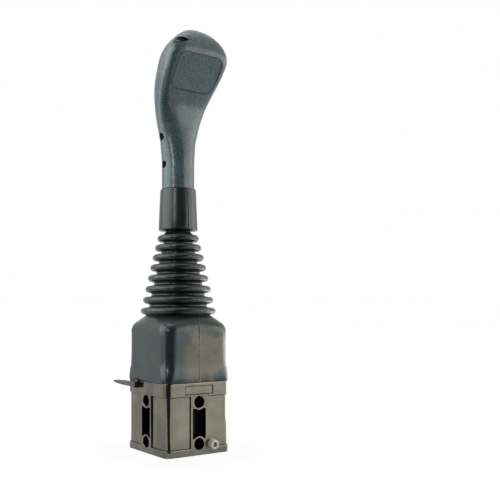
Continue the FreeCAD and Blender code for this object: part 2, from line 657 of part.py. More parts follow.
def rubber_boot():
    """One moulding: square skirt, sloped shoulder, ringed bellows and collar."""
    bellows = Part.Face(bellows_profile()).revolve(Vector(0, 0, 0), Vector(0, 0, 1), 360)

    def skin(offset, bottom, top_z, top_r):
        """Loft through the skirt's square sections up to the round foot of the bellows."""
        corner = BOOT_CORNER - offset
        levels = [(BOOT_LIP_HALF, bottom), (BOOT_LIP_HALF, BASE_HEIGHT + BOOT_LIP_RISE),
                  (BOOT_WAIST_HALF, BASE_HEIGHT + BOOT_WAIST_RISE),
                  (BOOT_WAIST_HALF, BASE_HEIGHT + BOOT_WAIST_END),
                  (BOOT_SHOULDER_HALF, BOOT_SHOULDER_Z - offset)]
        wires = [rounded_rectangle(half - offset, half - offset, corner, z) for half, z in levels]
        lower = Part.makeLoft(wires, True, True)
        upper = Part.makeLoft([wires[-1], rounded_rectangle(top_r, top_r, top_r - 1e-3, top_z)], True, True)
        return lower.fuse(upper)

    outside = skin(0, BASE_HEIGHT, BELLOWS_BASE_Z + 0.5, BELLOWS_BASE_R)
    hollow = skin(BOOT_WALL, BASE_HEIGHT - 0.01, BELLOWS_BASE_Z - 2, BELLOWS_BASE_R - BOOT_WALL)
    mouth = cylinder(BELLOWS_BASE_R - BOOT_WALL, (0, 0, BELLOWS_BASE_Z - 2.5), (0, 0, BELLOWS_BASE_Z + 2))
    skirt = outside.cut(hollow).cut(mouth)
    grip = square_block(SPIGOT_HALF + BOOT_GRIP, SPIGOT_CORNER + BOOT_GRIP, BASE_HEIGHT, SPIGOT_TOP)
    roof = square_block(BOOT_LIP_HALF - 1, BOOT_CORNER, STRAP_LOW + STRAP_WIDTH + 0.1, SPIGOT_TOP)
    ledge = fuse([grip, roof]).cut(square_block(SPIGOT_HALF, SPIGOT_CORNER, 0, SPIGOT_TOP + 2))
    notch_half = STRAP_NECK_HALF + 0.3
    notch = box((SPIGOT_HALF + BOOT_GRIP + STRAP_THICK, STRAP_HEAD_Y - notch_half, BASE_HEIGHT - 1),
                (BOOT_LIP_HALF + 1, STRAP_HEAD_Y + notch_half, STRAP_LOW + STRAP_NECK + 0.3))
    return fuse([skirt, bellows, ledge]).cut(notch)


def boot_strap():
    """Strap round the boot's foot, with its lock head and its free tail on the right side."""
    inner = SPIGOT_HALF + BOOT_GRIP
    band = square_block(inner + STRAP_THICK, SPIGOT_CORNER + BOOT_GRIP + STRAP_THICK, STRAP_LOW,
                        STRAP_LOW + STRAP_WIDTH)
    band = band.cut(square_block(inner, SPIGOT_CORNER + BOOT_GRIP, 0, SPIGOT_TOP))
    depth, length, height = STRAP_HEAD
    face = RIM_HALF + 0.3
    head = box((face, STRAP_HEAD_Y - length / 2, STRAP_Z - height / 2),
               (face + depth, STRAP_HEAD_Y + length / 2, STRAP_Z + height / 2))
    head = head.makeFillet(0.8, head.Edges)
    link = box((inner + 0.2, STRAP_HEAD_Y - STRAP_NECK_HALF, STRAP_LOW),
               (face + 1.4, STRAP_HEAD_Y + STRAP_NECK_HALF, STRAP_LOW + STRAP_NECK))
    drop = box((face, STRAP_HEAD_Y - STRAP_NECK_HALF, STRAP_Z),
               (face + 1.4, STRAP_HEAD_Y + STRAP_NECK_HALF, STRAP_LOW + STRAP_NECK))
    tail_x = face + 1.4
    half = STRAP_WIDTH / 2
    tip = STRAP_TIP_WIDTH / 2
    end = STRAP_HEAD_Y - STRAP_TAIL
    corners = [(STRAP_HEAD_Y, -half), (STRAP_HEAD_Y, half), (end + STRAP_TAPER, half),
               (end, tip), (end, -tip), (end + STRAP_TAPER, -half)]
    outline = [Vector(tail_x, y, STRAP_Z + z) for y, z in corners]
    tail = Part.Face(Part.makePolygon(outline + outline[:1])).extrude(Vector(STRAP_THICK, 0, 0))
    return fuse([band, link, drop, head, tail])


def handle_section(station, inset=0.0):
    """Closed smooth curve of one level section of the handle."""
    rise, half_width, front, rear, widest, front_n, rear_n = station
    points = []
    for k in range(SECTION_POINTS):
        angle = 2 * math.pi * k / SECTION_POINTS - math.pi / 2
        across = math.cos(angle)
        along_y = math.sin(angle)
        reach = (front - widest if along_y >= 0 else widest - rear) - inset
        power = front_n if along_y >= 0 else rear_n
        radius = (abs(across / (half_width - inset)) ** power + abs(along_y / reach) ** power) ** (-1 / power)
        points.append(Vector(radius * across, widest + radius * along_y, GRIP_BOTTOM + rise))
    curve = Part.BSplineCurve()
    curve.interpolate(Points=points, PeriodicFlag=True)
    return Part.Wire(curve.toShape())


def slopes_at(heights, values):
    """Slope at each station, kept small enough that the curve never swings past its points."""
    steps = [(b - a) / (q - p) for a, b, p, q in zip(values, values[1:], heights, heights[1:])]
    slopes = [steps[0]]
    for before, after in zip(steps, steps[1:]):
        slopes.append(2 * before * after / (before + after) if before * after > 0 else 0.0)
    return slopes + [steps[-1]]


def station_at(height):
    """Section data at any height between the stations, by cubic pieces through them."""
    heights = [station[0] for station in HANDLE_STATIONS]
    index = max(k for k in range(len(heights) - 1) if heights[k] <= height)
    span = heights[index + 1] - heights[index]
    t = (height - heights[index]) / span
    found = [height]
    for column in range(1, len(HANDLE_STATIONS[0])):
        values = [station[column] for station in HANDLE_STATIONS]
        slopes = slopes_at(heights, values)
        found.append((1 + 2 * t) * (1 - t) ** 2 * values[index] + t * (1 - t) ** 2 * span * slopes[index]
                     + t ** 2 * (3 - 2 * t) * values[index + 1] + t ** 2 * (t - 1) * span * slopes[index + 1])
    return tuple(found)


def handle_loft(bottom, top, inset):
    """Smooth wires of the handle from one height to another."""
    heights = [bottom] + [s[0] for s in HANDLE_STATIONS if bottom < s[0] < top] + [top]
    levels = []
    for low, high in zip(heights, heights[1:]):
        count = math.ceil((high - low) / SECTION_STEP)
        levels += [low + (high - low) * k / count for k in range(count)]
    return [handle_section(station_at(level), inset) for level in levels + [top]]


def handle_form():
    """Outer form of the whole handle, stem spigot included."""
    sections = handle_loft(HANDLE_STATIONS[0][0], HANDLE_STATIONS[-1][0], 0.0)
    tip = Part.Vertex(Vector(0, HANDLE_TOP[0], GRIP_BOTTOM + HANDLE_TOP[1]))
    grip = Part.makeLoft(sections + [tip], True)
    spigot = cylinder(SPIGOT_R, (0, 0, HANDLE_BOTTOM), (0, 0, GRIP_BOTTOM + 1))
    return grip.fuse(spigot)


def handle_cavity():
    """Hollow of the handle, with bosses left for the screws and walls behind pad and label."""
    hollow = Part.makeLoft(handle_loft(CAVITY_START, CAVITY_END, HANDLE_WALL), True)
    kept = [cylinder(SCREW_BOSS_R, (-40, y, z), (40, y, z)) for y, z, seat in HANDLE_SCREWS]
    kept += [pad_prism(PAD_GAP + WALL_BEHIND, -PAD_THICK - WALL_BEHIND, 6.0),
             label_prism(LABEL_GAP + WALL_BEHIND, LABEL_PROUD - LABEL_PLATE - WALL_BEHIND, 6.0)]
    return cut(hollow, kept)


def tilted(shape, centre, degrees):
    """Shape drawn in the XY plane, stood up to face +Y, then tipped and placed at y, z."""
    copy = shape.copy()
    copy.rotate(Vector(0, 0, 0), Vector(1, 0, 0), degrees)
    copy.translate(Vector(0, centre[0], centre[1]))
    return copy


def pad_prism(grow, low, high):
    """Prism of the pad's outline; its plane faces away from the operator and down."""
    outline = rounded_rectangle(PAD_HALF_WIDTH + grow, PAD_HALF_HEIGHT + grow, PAD_CORNER + grow, low)
    prism = Part.Face(outline).extrude(Vector(0, 0, high - low))
    return tilted(prism, PAD_CENTRE, -90 - PAD_TILT)


def egg(grow, height):
    """Egg outline: one half ellipse above the widest line and a longer one below it."""
    wide = LABEL_HALF_WIDTH + grow
    upper = LABEL_UPPER + grow
    lower = LABEL_LOWER + grow
    count = 24
    points = []
    for k in range(count):
        angle = 2 * math.pi * k / count
        reach = upper if math.sin(angle) >= 0 else lower
        points.append(Vector(wide * math.cos(angle), reach * math.sin(angle), height))
    curve = Part.BSplineCurve()
    curve.interpolate(Points=points, PeriodicFlag=True)
    return Part.Wire(curve.toShape())


def label_prism(grow, low, high):
    """Prism of the label's outline; its plane faces the operator and up."""
    prism = Part.Face(egg(grow, low)).extrude(Vector(0, 0, high - low))
    return tilted(prism, LABEL_WIDEST, 90 - LABEL_TILT)


def handle_halves():
    """The two half shells of the handle."""
    whole = handle_form()
    tools = [
        handle_cavity(),
        cylinder(ROD_R + ROD_HOLE_GAP, (0, 0, HANDLE_BOTTOM - 1), (0, 0, INSERT_BOTTOM + 1)),
        cylinder(INSERT_R, (0, 0, INSERT_BOTTOM), (0, 0, INSERT_TOP)),
        cylinder(INSERT_FLANGE_R, (0, 0, INSERT_FLANGE_BOTTOM), (0, 0, INSERT_FLANGE_BOTTOM + INSERT_FLANGE)),
        pad_prism(PAD_GAP, -PAD_THICK, 6.0),
        pad_prism(PAD_GAP + PAD_FRAME, 0.0, 6.0),
        label_prism(LABEL_GAP, LABEL_PROUD - LABEL_PLATE, 6.0),
        label_prism(LABEL_GAP + PAD_FRAME, 0.0, 6.0),
    ]
    whole = cut(whole, tools)
    right_tools = []
    left_tools = []
    for y, z, seat in HANDLE_SCREWS:
        right_tools.append(cylinder(COUNTERBORE_R, (seat, y, z), (40, y, z)))
        right_tools.append(cylinder(HANDLE_SCREW_R, (-1, y, z), (seat + 1, y, z)))
        left_tools.append(cylinder(HANDLE_SCREW_R, (1, y, z), (-HANDLE_SCREW_REACH, y, z)))
    right = cut(whole.common(box((0, -60, HANDLE_BOTTOM - 1), (60, 80, GRIP_BOTTOM + 150))), right_tools)
    left = cut(whole.common(box((-60, -60, HANDLE_BOTTOM - 1), (0, 80, GRIP_BOTTOM + 150))), left_tools)
    return right, left


def handle_screws():
    """Three recessed screws that hold the half shells together."""
    screws = []
    for y, z, seat in HANDLE_SCREWS:
        head = cylinder(HANDLE_SCREW_HEAD_R, (seat, y, z), (seat + HANDLE_SCREW_HEAD, y, z))
        rim = [e for e in head.Edges if e.Closed and abs(e.CenterOfMass.x - seat - HANDLE_SCREW_HEAD) < 1e-3]
        head = head.makeFillet(0.8, rim)
        shank = cylinder(HANDLE_SCREW_R, (-HANDLE_SCREW_REACH, y, z), (seat + 1, y, z))
        drive = hexagon(2.5, (seat + 1.0, y, z), (seat + 5, y, z))
        screws.append(head.fuse(shank).cut(drive).removeSplitter())
    return screws


def rod_insert():
    """Threaded steel insert, trapped in the stem, that the lever rod screws into."""
    body = cylinder(INSERT_R, (0, 0, INSERT_BOTTOM), (0, 0, INSERT_TOP))
    flange = cylinder(INSERT_FLANGE_R, (0, 0, INSERT_FLANGE_BOTTOM),
                      (0, 0, INSERT_FLANGE_BOTTOM + INSERT_FLANGE))
    return fuse([body, flange]).cut(cylinder(ROD_R, (0, 0, INSERT_BOTTOM - 1), (0, 0, ROD_TOP)))


def front_pad():
    """Blank cover in the front of the handle, where other versions carry a switch."""
    pad = pad_prism(0.0, -PAD_THICK, 0.0)
    return pad


def label_plate():
    """Egg-shaped plate that carries the label's print."""
    return label_prism(0.0, LABEL_PROUD - LABEL_PLATE, LABEL_PROUD)


def label_dome():
    """Clear domed cover on the label plate."""
    wires = []
    for step in range(DOME_STEPS + 1):
        share = step / DOME_STEPS
        height = LABEL_PROUD + DOME_CROWN * math.sin(share * math.pi / 2)
        wires.append(egg(-DOME_RIM * 0.5 - 9.0 * (1 - math.cos(share * math.pi / 2)), height))
    return tilted(Part.makeLoft(wires, True), LABEL_WIDEST, 90 - LABEL_TILT)


def build():
    """Every node by name, as one solid or a list of like solids."""
    roll_side = (-1, 0, 0)
    pitch_side = (0, -1, 0)
    right, left = handle_halves()
    return {
        "base_housing": base_housing(),
        "dust_sleeve": dust_sleeve(),
        "conduit_clamp_screws": conduit_clamp_screws(),
        "pivot_frame": pivot_frame(),
        "frame_washers": frame_washers(),
        "frame_screws": frame_screws(),
        "pitch_pins": pitch_pins(),
        "pitch_bushes": pitch_bushes(),
        "gimbal_ring": gimbal_ring(),
        "roll_pins": roll_pins(),
        "roll_bushes": roll_bushes(),
        "hub": hub(),
        "lever_rod": lever_rod(),
        "rod_jam_nut": rod_jam_nut(),
        "roll_cable_stud": cable_stud(roll_side),
        "pitch_cable_stud": cable_stud(pitch_side),
        "stud_spacers": [stud_spacer(roll_side), stud_spacer(pitch_side)],
        "stud_clips": [stud_clip(roll_side), stud_clip(pitch_side)],
        "roll_rod_end_ball": rod_end_ball(roll_side),
        "pitch_rod_end_ball": rod_end_ball(pitch_side),
        "roll_rod_end": rod_end(roll_side),
        "pitch_rod_end": rod_end(pitch_side),
        "rubber_boot": rubber_boot(),
        "boot_strap": boot_strap(),
        "rod_insert": rod_insert(),
        "handle_right_half": right,
        "handle_left_half": left,
        "handle_screws": handle_screws(),
        "front_pad": front_pad(),
        "label_plate": label_plate(),
        "label_dome": label_dome(),
    }


def main():
    """Write one STEP file for each node."""
    os.makedirs("parts", exist_ok=True)
    for name, shape in build().items():
        if isinstance(shape, list):
            shape = Part.makeCompound(shape)
        shape.exportStep("parts/" + name + ".step")


main()
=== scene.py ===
"""Looks of a two-axis cable control lever: rubber boot, strap, label, finishes and stage."""
import math
import bpy
import numpy as np
from bpy.props import FloatProperty, FloatVectorProperty, IntProperty, PointerProperty
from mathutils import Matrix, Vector


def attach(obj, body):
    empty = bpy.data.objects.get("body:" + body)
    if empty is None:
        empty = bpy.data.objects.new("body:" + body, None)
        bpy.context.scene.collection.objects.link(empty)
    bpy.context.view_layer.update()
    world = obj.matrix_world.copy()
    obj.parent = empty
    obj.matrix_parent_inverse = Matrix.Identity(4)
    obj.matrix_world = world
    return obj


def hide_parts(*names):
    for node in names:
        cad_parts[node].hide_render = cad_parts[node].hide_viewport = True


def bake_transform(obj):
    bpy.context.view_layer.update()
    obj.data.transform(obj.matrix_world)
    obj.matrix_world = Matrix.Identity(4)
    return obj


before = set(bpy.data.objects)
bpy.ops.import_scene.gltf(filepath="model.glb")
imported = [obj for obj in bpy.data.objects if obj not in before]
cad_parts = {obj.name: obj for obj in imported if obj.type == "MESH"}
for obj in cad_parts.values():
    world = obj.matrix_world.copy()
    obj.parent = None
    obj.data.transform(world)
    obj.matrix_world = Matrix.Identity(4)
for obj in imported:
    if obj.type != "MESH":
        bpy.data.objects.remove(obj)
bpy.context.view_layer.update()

bl_info = {
    "name": "Cable control lever",
    "version": (1, 0, 0),
    "blender": (4, 5, 0),
    "location": "3D View > Sidebar > Lever",
    "description": "Boot, strap, label, finishes and stage of a two-axis cable control lever",
    "category": "Object",
}

MM = 0.001

# Heights and radii of the boot in millimetres, as the frame has them; its rings and grooves are fuller
BASE_TOP = 63.5
SHOULDER_Z = 112.5
BELLOWS_Z = 122.1
BELLOWS_R = 29.0
RING_Z = 125.7
RING_R = 34.1
RING_PITCH = 9.37
RING_STEP = 2.17
RIM = 3.05
GROOVE = 1.55
RING_DEPTH = 6.8
RING_LIFT = 1.55
WALL = 1.6
SKIRT_HALF = 34.1
SKIRT_WALL = 2.2
SPLIT_RING = 1
LAST_RING = 7
ARC_POINTS = 13
COLLAR_FOOT = 198.0
COLLAR_TOP = 235.8

# Direction of the camera as seen from the lever, in degrees from +X
CAMERA_AZIMUTH = 57

# Base casting in millimetres: middles of its round corners, its panels, name plate and clamp screws
CORNER_MIDDLE = 27.5
COLUMN_EDGE = 8.75
PANEL_FOOT = 6.5
PANEL_HEAD = 51.5
PLATE_Z = 57.0
PLATE_HALF_WIDTH = 14.5
PLATE_HALF_HEIGHT = 3.6
CLAMP_ASIDE = 13.5
CLAMP_Z = 8.8
CLAMP_SEAT_R = 6.8

# Free end of the strap in millimetres: its place, its length and how far its teeth lean
TAIL_X = 36.35
TAIL_Y = -14.5
TAIL_Z = 59.7
TAIL_LENGTH = 39.6
TOOTH_LEAN = 0.45

# Pad in the handle's head: its middle, the way up in its plane, half its straight sides, its corners
PAD_Y = 30.1
PAD_Z = 333.7
PAD_UP = (0.607, 0.794)
PAD_HALF = (14.8, 9.2)
PAD_CORNER = 7.15

# Plane of the label: its centre, the way up in it and the way out of it
LABEL_CENTRE = np.array([0.0, 15.6, 353.9])
LABEL_UP = np.array([0.0, 0.536, 0.844])
LABEL_OUT = np.array([0.0, -0.844, 0.536])

# Egg of the label in millimetres: half its width, its reach up and down, the middle it shrinks to
EGG_HALF_WIDTH = 21.9
EGG_UP = 17.9
EGG_DOWN = 35.9
EGG_MIDDLE = -6.0
MARK_LOW = 1.45
MARK_HIGH = 1.78


def colour_property(name, description, value):
    """A colour setting."""
    return FloatVectorProperty(name=name, description=description, subtype="COLOR", size=3,
                               min=0.0, max=1.0, default=value)


class LeverSizes(bpy.types.PropertyGroup):
    """Sizes that a user may change."""
    lip_swell: FloatProperty(name="Lip swell", description="How far the boot's lip stands proud of its waist",
                             default=0.0008, unit="LENGTH")
    parting_line: FloatProperty(name="Parting line", description="Height of the moulding line on the boot",
                                default=0.0003, unit="LENGTH")
    tooth_pitch: FloatProperty(name="Tooth pitch", description="Distance between the strap's teeth",
                               default=0.0042, unit="LENGTH")
    tooth_height: FloatProperty(name="Tooth height", description="Height of the strap's teeth",
                                default=0.0006, unit="LENGTH")
    columns: IntProperty(name="Columns", description="Points round the boot", default=240, min=60, max=400)


class LeverColours(bpy.types.PropertyGroup):
    """Colours of the finishes."""
    handle: colour_property("Handle", "Moulded handle, lit", (0.060, 0.101, 0.104))
    # The darker end of the handle's clouds; 0.3 of it is the painted shade in the grain's pits.
    handle_dark: colour_property("Handle, dark", "Moulded handle, in its grain's pits", (0.037, 0.067, 0.071))
    rubber: colour_property("Rubber", "Boot", (0.003, 0.013, 0.019))
    rubber_bloom: colour_property("Rubber bloom", "Paler clouds on the boot", (0.032, 0.036, 0.024))
    paint: colour_property("Base", "Plated casting", (0.230, 0.215, 0.165))
    paint_dark: colour_property("Base, dark", "Darker clouds on the casting", (0.165, 0.157, 0.128))
    strap: colour_property("Strap", "Toothed strap", (0.125, 0.120, 0.098))
    label: colour_property("Label", "Ground of the label", (0.76, 0.755, 0.73))
    mark_red: colour_property("Red", "Red marks of the label", (0.56, 0.030, 0.020))
    mark_black: colour_property("Black", "Black marks of the label", (0.012, 0.012, 0.012))
    mark_yellow: colour_property("Yellow", "Yellow marks of the label", (0.72, 0.46, 0.05))


class LeverStage(bpy.types.PropertyGroup):
    """Lights and camera."""
    side_power: FloatProperty(name="Side lights", description="Power of each big side light", default=11.0,
                              min=0.0, unit="POWER")
    top_power: FloatProperty(name="Top light", description="Power of the light overhead", default=3.2,
                             min=0.0, unit="POWER")
    strip_power: FloatProperty(name="Strip light", description="Power of the slim light left of the camera",
                               default=1.4, min=0.0, unit="POWER")
    low_power: FloatProperty(name="Low light", description="Power of the light near the floor on the right",
                             default=0.55, min=0.0, unit="POWER")
    fill: FloatProperty(name="Fill", description="Brightness of the surroundings", default=0.25, min=0.0)
    distance: FloatProperty(name="Camera distance", description="From the lever's axis", default=0.637,
                            unit="LENGTH")
    height: FloatProperty(name="Camera height", description="Above the floor", default=0.1239, unit="LENGTH")


def node_of(tree, kind, **values):
    """New shader node with its settings."""
    node = tree.nodes.new(kind)
    for key, value in values.items():
        setattr(node, key, value)
    return node


def shade(colour, factor):
    """A colour made darker or lighter by a factor."""
    return tuple(factor * value for value in colour)


def mixed(tree, share, first, second):
    """Colour between first and second; share, first and second are sockets or values."""
    mix = node_of(tree, "ShaderNodeMix", data_type="RGBA")
    for index, value in ((0, share), (6, first), (7, second)):
        if isinstance(value, bpy.types.NodeSocket):
            tree.links.new(value, mix.inputs[index])
        elif index == 0:
            mix.inputs[0].default_value = value
        else:
            mix.inputs[index].default_value = (*value, 1.0)
    return mix.outputs[2]


def noise(tree, place, scale, detail=3.0, stretch=None):
    """Noise value at a scale in cells per metre, drawn out along one way if stretch is given."""
    if stretch:
        mapping = node_of(tree, "ShaderNodeMapping")
        mapping.inputs["Scale"].default_value = stretch
        tree.links.new(place, mapping.inputs["Vector"])
        place = mapping.outputs["Vector"]
    texture = node_of(tree, "ShaderNodeTexNoise")
    texture.inputs["Scale"].default_value = scale
    texture.inputs["Detail"].default_value = detail
    tree.links.new(place, texture.inputs["Vector"])
    return texture.outputs["Fac"]


def ranged(tree, value, low, high, to_low, to_high):
    """Value carried from one range to another and held at its ends."""
    node = node_of(tree, "ShaderNodeMapRange")
    for name, number in (("From Min", low), ("From Max", high), ("To Min", to_low), ("To Max", to_high)):
        node.inputs[name].default_value = number
    tree.links.new(value, node.inputs["Value"])
    return node.outputs["Result"]


def calc(tree, operation, first, second=0.0):
    """Result of a sum on sockets or numbers."""
    node = node_of(tree, "ShaderNodeMath", operation=operation)
    for index, value in enumerate((first, second)):
        if isinstance(value, bpy.types.NodeSocket):
            tree.links.new(value, node.inputs[index])
        else:
            node.inputs[index].default_value = value
    return node.outputs[0]


def product(tree, *shares):
    """Shares multiplied with one another."""
    result = shares[0]
    for share in shares[1:]:
        result = calc(tree, "MULTIPLY", result, share)
    return result


def away(tree, value, middle=0.0):
    """Distance of a value from a middle."""
    return calc(tree, "ABSOLUTE", calc(tree, "SUBTRACT", value, middle))


def beyond(tree, value, half):
    """How far a value lies outside a width about zero, given as its half; 0 inside it."""
    return calc(tree, "MAXIMUM", calc(tree, "SUBTRACT", away(tree, value), half), 0.0)


def length_of(tree, first, second):
    """Length of a way that goes first along and second across."""
    return calc(tree, "SQRT", calc(tree, "ADD", calc(tree, "MULTIPLY", first, first),
                                   calc(tree, "MULTIPLY", second, second)))


def split_place(tree, place):
    """The three parts of a place, in millimetres."""
    scaled = node_of(tree, "ShaderNodeVectorMath", operation="SCALE")
    scaled.inputs["Scale"].default_value = 1 / MM
    tree.links.new(place, scaled.inputs[0])
    node = node_of(tree, "ShaderNodeSeparateXYZ")
    tree.links.new(scaled.outputs[0], node.inputs[0])
    return node.outputs[0], node.outputs[1], node.outputs[2]


def inside_painted_shade(tree, place):
    """Share of painted shade, black in the recesses: 1 inside the casting's walls and in its columns' holes,
    0 on its outer faces.

    The distance to a square with round corners is the length of what x and y have beyond the
    corners' middles. The columns lie 1 mm further out than the panels, below the top band.
    """
    x, y, z = split_place(tree, place)
    depth = length_of(tree, beyond(tree, x, CORNER_MIDDLE), beyond(tree, y, CORNER_MIDDLE))
    along = calc(tree, "MINIMUM", away(tree, x), away(tree, y))
    behind_panels = ranged(tree, depth, 4.7, 5.1, 1.0, 0.0)
    in_column = product(tree, ranged(tree, along, COLUMN_EDGE - 0.45, COLUMN_EDGE - 0.15, 1.0, 0.0),
                        ranged(tree, depth, 6.1, 6.45, 1.0, 0.0),
                        ranged(tree, z, PANEL_HEAD - 0.3, PANEL_HEAD, 1.0, 0.0))
    return product(tree, calc(tree, "MAXIMUM", behind_panels, in_column), ranged(tree, z, 0.6, 1.6, 0.0, 1.0))


def x_side_painted_shade(tree, place):
    """Share of painted shade in streaks from top to bottom on the plated +X side."""
    streak = ranged(tree, noise(tree, place, 60.0, 3.0, (1.0, 1.0, 0.25)), 0.42, 0.60, 0.35, 0.9)
    return product(tree, streak, ranged(tree, split_place(tree, place)[0], 31.8, 32.8, 0.0, 1.0))


def foot_painted_shade(tree, place):
    """A growing share of painted shade towards the foot of the casting."""
    return ranged(tree, split_place(tree, place)[2], 0.0, 15.0, 0.5, 0.0)


def plate_edge_painted_shade(tree, place):
    """A share of painted shade on the outline of the blank name plate on the +Y side: near a rectangle's
    edge.
    """
    x, y, z = split_place(tree, place)
    edge = away(tree, calc(tree, "MAXIMUM", calc(tree, "SUBTRACT", away(tree, x), PLATE_HALF_WIDTH),
                           calc(tree, "SUBTRACT", away(tree, z, PLATE_Z), PLATE_HALF_HEIGHT)))
    return product(tree, ranged(tree, edge, 0.3, 0.6, 0.8, 0.0), ranged(tree, y, 32.5, 33.0, 0.0, 1.0))


def panel_corner_painted_shade(tree, place):
    """A share of painted shade in the corners round the recessed panels: near a column, the foot rim or the
    top band.
    """
    x, y, z = split_place(tree, place)
    along = calc(tree, "MINIMUM", away(tree, x), away(tree, y))
    out = calc(tree, "MAXIMUM", away(tree, x), away(tree, y))
    level = calc(tree, "MINIMUM", away(tree, z, PANEL_FOOT), away(tree, z, PANEL_HEAD))
    edge = calc(tree, "MINIMUM", away(tree, along, COLUMN_EDGE), level)
    return product(tree, ranged(tree, edge, 0.35, 0.7, 0.85, 0.0), ranged(tree, out, 32.9, 33.1, 1.0, 0.0))


def seat_edge_painted_shade(tree, place):
    """A share of painted shade on the ring round each clamp screw: near a circle in the +Y side and in the -X
    side.
    """
    x, y, z = split_place(tree, place)
    rings = []
    for along, out in ((x, y), (y, calc(tree, "MULTIPLY", x, -1.0))):
        radius = length_of(tree, calc(tree, "ADD", along, CLAMP_ASIDE), calc(tree, "SUBTRACT", z, CLAMP_Z))
        line = ranged(tree, away(tree, radius, CLAMP_SEAT_R), 0.2, 0.5, 0.6, 0.0)
        rings.append(product(tree, line, ranged(tree, out, 31.0, 32.0, 0.0, 1.0)))
    return calc(tree, "MAXIMUM", *rings)


def tooth_painted_shade(tree, place):
    """A share of painted shade between the teeth of the strap's free end, where its saw wave is low."""
    x, y, z = split_place(tree, place)
    pitch = bpy.context.scene.lever_sizes.tooth_pitch / MM
    lean = calc(tree, "MULTIPLY", calc(tree, "SUBTRACT", z, TAIL_Z), TOOTH_LEAN)
    way = calc(tree, "SUBTRACT", lean, calc(tree, "SUBTRACT", y, TAIL_Y))
    phase = calc(tree, "FRACT", calc(tree, "DIVIDE", way, pitch))
    return ranged(tree, away(tree, phase, 0.35), 0.25, 0.48, 0.0, 0.85)


def collar_top(tree, place):
    """1 on the last of the collar below the handle, which lies in its shadow."""
    return ranged(tree, split_place(tree, place)[2], COLLAR_TOP - 1.0, COLLAR_TOP - 0.5, 0.0, 1.0)


def skirt_y_painted_reflection(tree, place):
    """An even share of bluish painted reflection over the skirt's +Y side."""
    return ranged(tree, split_place(tree, place)[1], 32.5, 33.8, 0.0, 0.75)


def skirt_y_painted_pale_reflection(tree, place):
    """Patches of pale painted reflection on the skirt's +Y side, more of them away from the strap's corner.
    """
    x, y, z = split_place(tree, place)
    patch = ranged(tree, noise(tree, place, 54.0, 3.0), 0.38, 0.52, 0.0, 1.0)
    return product(tree, patch, ranged(tree, x, 19.0, 9.0, 0.0, 0.85), ranged(tree, y, 32.5, 33.8, 0.0, 1.0))


def skirt_x_painted_reflection(tree, place):
    """Soft darker greener patches of painted reflection on the skirt's +X side."""
    patch = ranged(tree, noise(tree, place, 26.0, 3.0), 0.38, 0.62, 0.0, 0.95)
    return product(tree, patch, ranged(tree, split_place(tree, place)[0], 32.5, 33.8, 0.0, 1.0))


def above_skirt(tree, place):
    """A growing share over the shoulder: the rings and the collar are of one even colour."""
    return ranged(tree, split_place(tree, place)[2], 106.0, 118.0, 0.0, 0.95)


def pad_groove_painted_shade(tree, place):
    """A share of painted shade in the narrow groove round the pad.

    In the pad's plane, the distance to its round-cornered outline is the length of what lies beyond
    its straight sides, less the corners' radius.
    """
    x, y, z = split_place(tree, place)
    y = calc(tree, "SUBTRACT", y, PAD_Y)
    z = calc(tree, "SUBTRACT", z, PAD_Z)
    up = calc(tree, "ADD", calc(tree, "MULTIPLY", y, PAD_UP[0]), calc(tree, "MULTIPLY", z, PAD_UP[1]))
    out = calc(tree, "SUBTRACT", calc(tree, "MULTIPLY", y, PAD_UP[1]), calc(tree, "MULTIPLY", z, PAD_UP[0]))
    length = length_of(tree, beyond(tree, x, PAD_HALF[0]), beyond(tree, up, PAD_HALF[1]))
    line = ranged(tree, away(tree, length, PAD_CORNER), 0.3, 0.65, 0.92, 0.0)
    return product(tree, line, ranged(tree, out, -6.0, -4.0, 0.0, 1.0))


def half_seam(tree, place):
    """A share on the line where the handle's halves meet; it is clearest just under the pad."""
    x, y, z = split_place(tree, place)
    line = ranged(tree, away(tree, x), 0.1, 0.32, 1.0, 0.0)
    return product(tree, line, ranged(tree, z, 300.0, 306.0, 0.22, 0.8), ranged(tree, y, 4.0, 12.0, 0.3, 1.0))


def surface_finish(name, light, dark, rough=(0.35, 0.5), clouds=70.0, grain=1100.0, depth=0.25,
                   painted_grain_light=0.0, stretch=None, edges=(0.36, 0.64), marks=(), **sockets):
    """Clouded colour between light and dark, uneven gloss and a fine grain that stands out as a bump.

    The setting for painted grain light paints shade into the grain's pits and a highlight onto its peaks.
    marks are pairs of a function that gives a share and the colour that it brings. The other settings go to
    the shader's sockets.
    """
    material = bpy.data.materials.new(name)
    material.use_nodes = True
    tree = material.node_tree
    shader = tree.nodes["Principled BSDF"]
    for key, value in sockets.items():
        shader.inputs[key.replace("_", " ")].default_value = value
    place = node_of(tree, "ShaderNodeTexCoord").outputs["Object"]
    cloud = ranged(tree, noise(tree, place, clouds, 4.0), *edges, 0.0, 1.0)
    colour = mixed(tree, cloud, dark, light)
    fine = noise(tree, place, grain, 2.0, stretch)
    # Painted shade in the grain's pits and painted highlight on its peaks.
    if painted_grain_light:
        colour = mixed(tree, ranged(tree, fine, 0.40, 0.50, painted_grain_light, 0.0), colour, shade(dark, 0.3))
        colour = mixed(tree, ranged(tree, fine, 0.52, 0.62, 0.0, painted_grain_light), colour, shade(light, 2.2))
    for share, tint in marks:
        colour = mixed(tree, share(tree, place), colour, tint)
    tree.links.new(colour, shader.inputs["Base Color"])
    gloss = ranged(tree, noise(tree, place, clouds * 1.7, 3.0), 0.35, 0.65, rough[0], rough[1])
    tree.links.new(gloss, shader.inputs["Roughness"])
    bump = node_of(tree, "ShaderNodeBump")
    bump.inputs["Strength"].default_value = depth
    bump.inputs["Distance"].default_value = 0.0004
    tree.links.new(fine, bump.inputs["Height"])
    tree.links.new(bump.outputs["Normal"], shader.inputs["Normal"])
    return material


def dress(material, *nodes):
    """Give CAD nodes a material."""
    for name in nodes:
        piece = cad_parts.get(name)
        if piece is None:
            raise RuntimeError("the frame has no node " + name)
        piece.data.materials.clear()
        piece.data.materials.append(material)


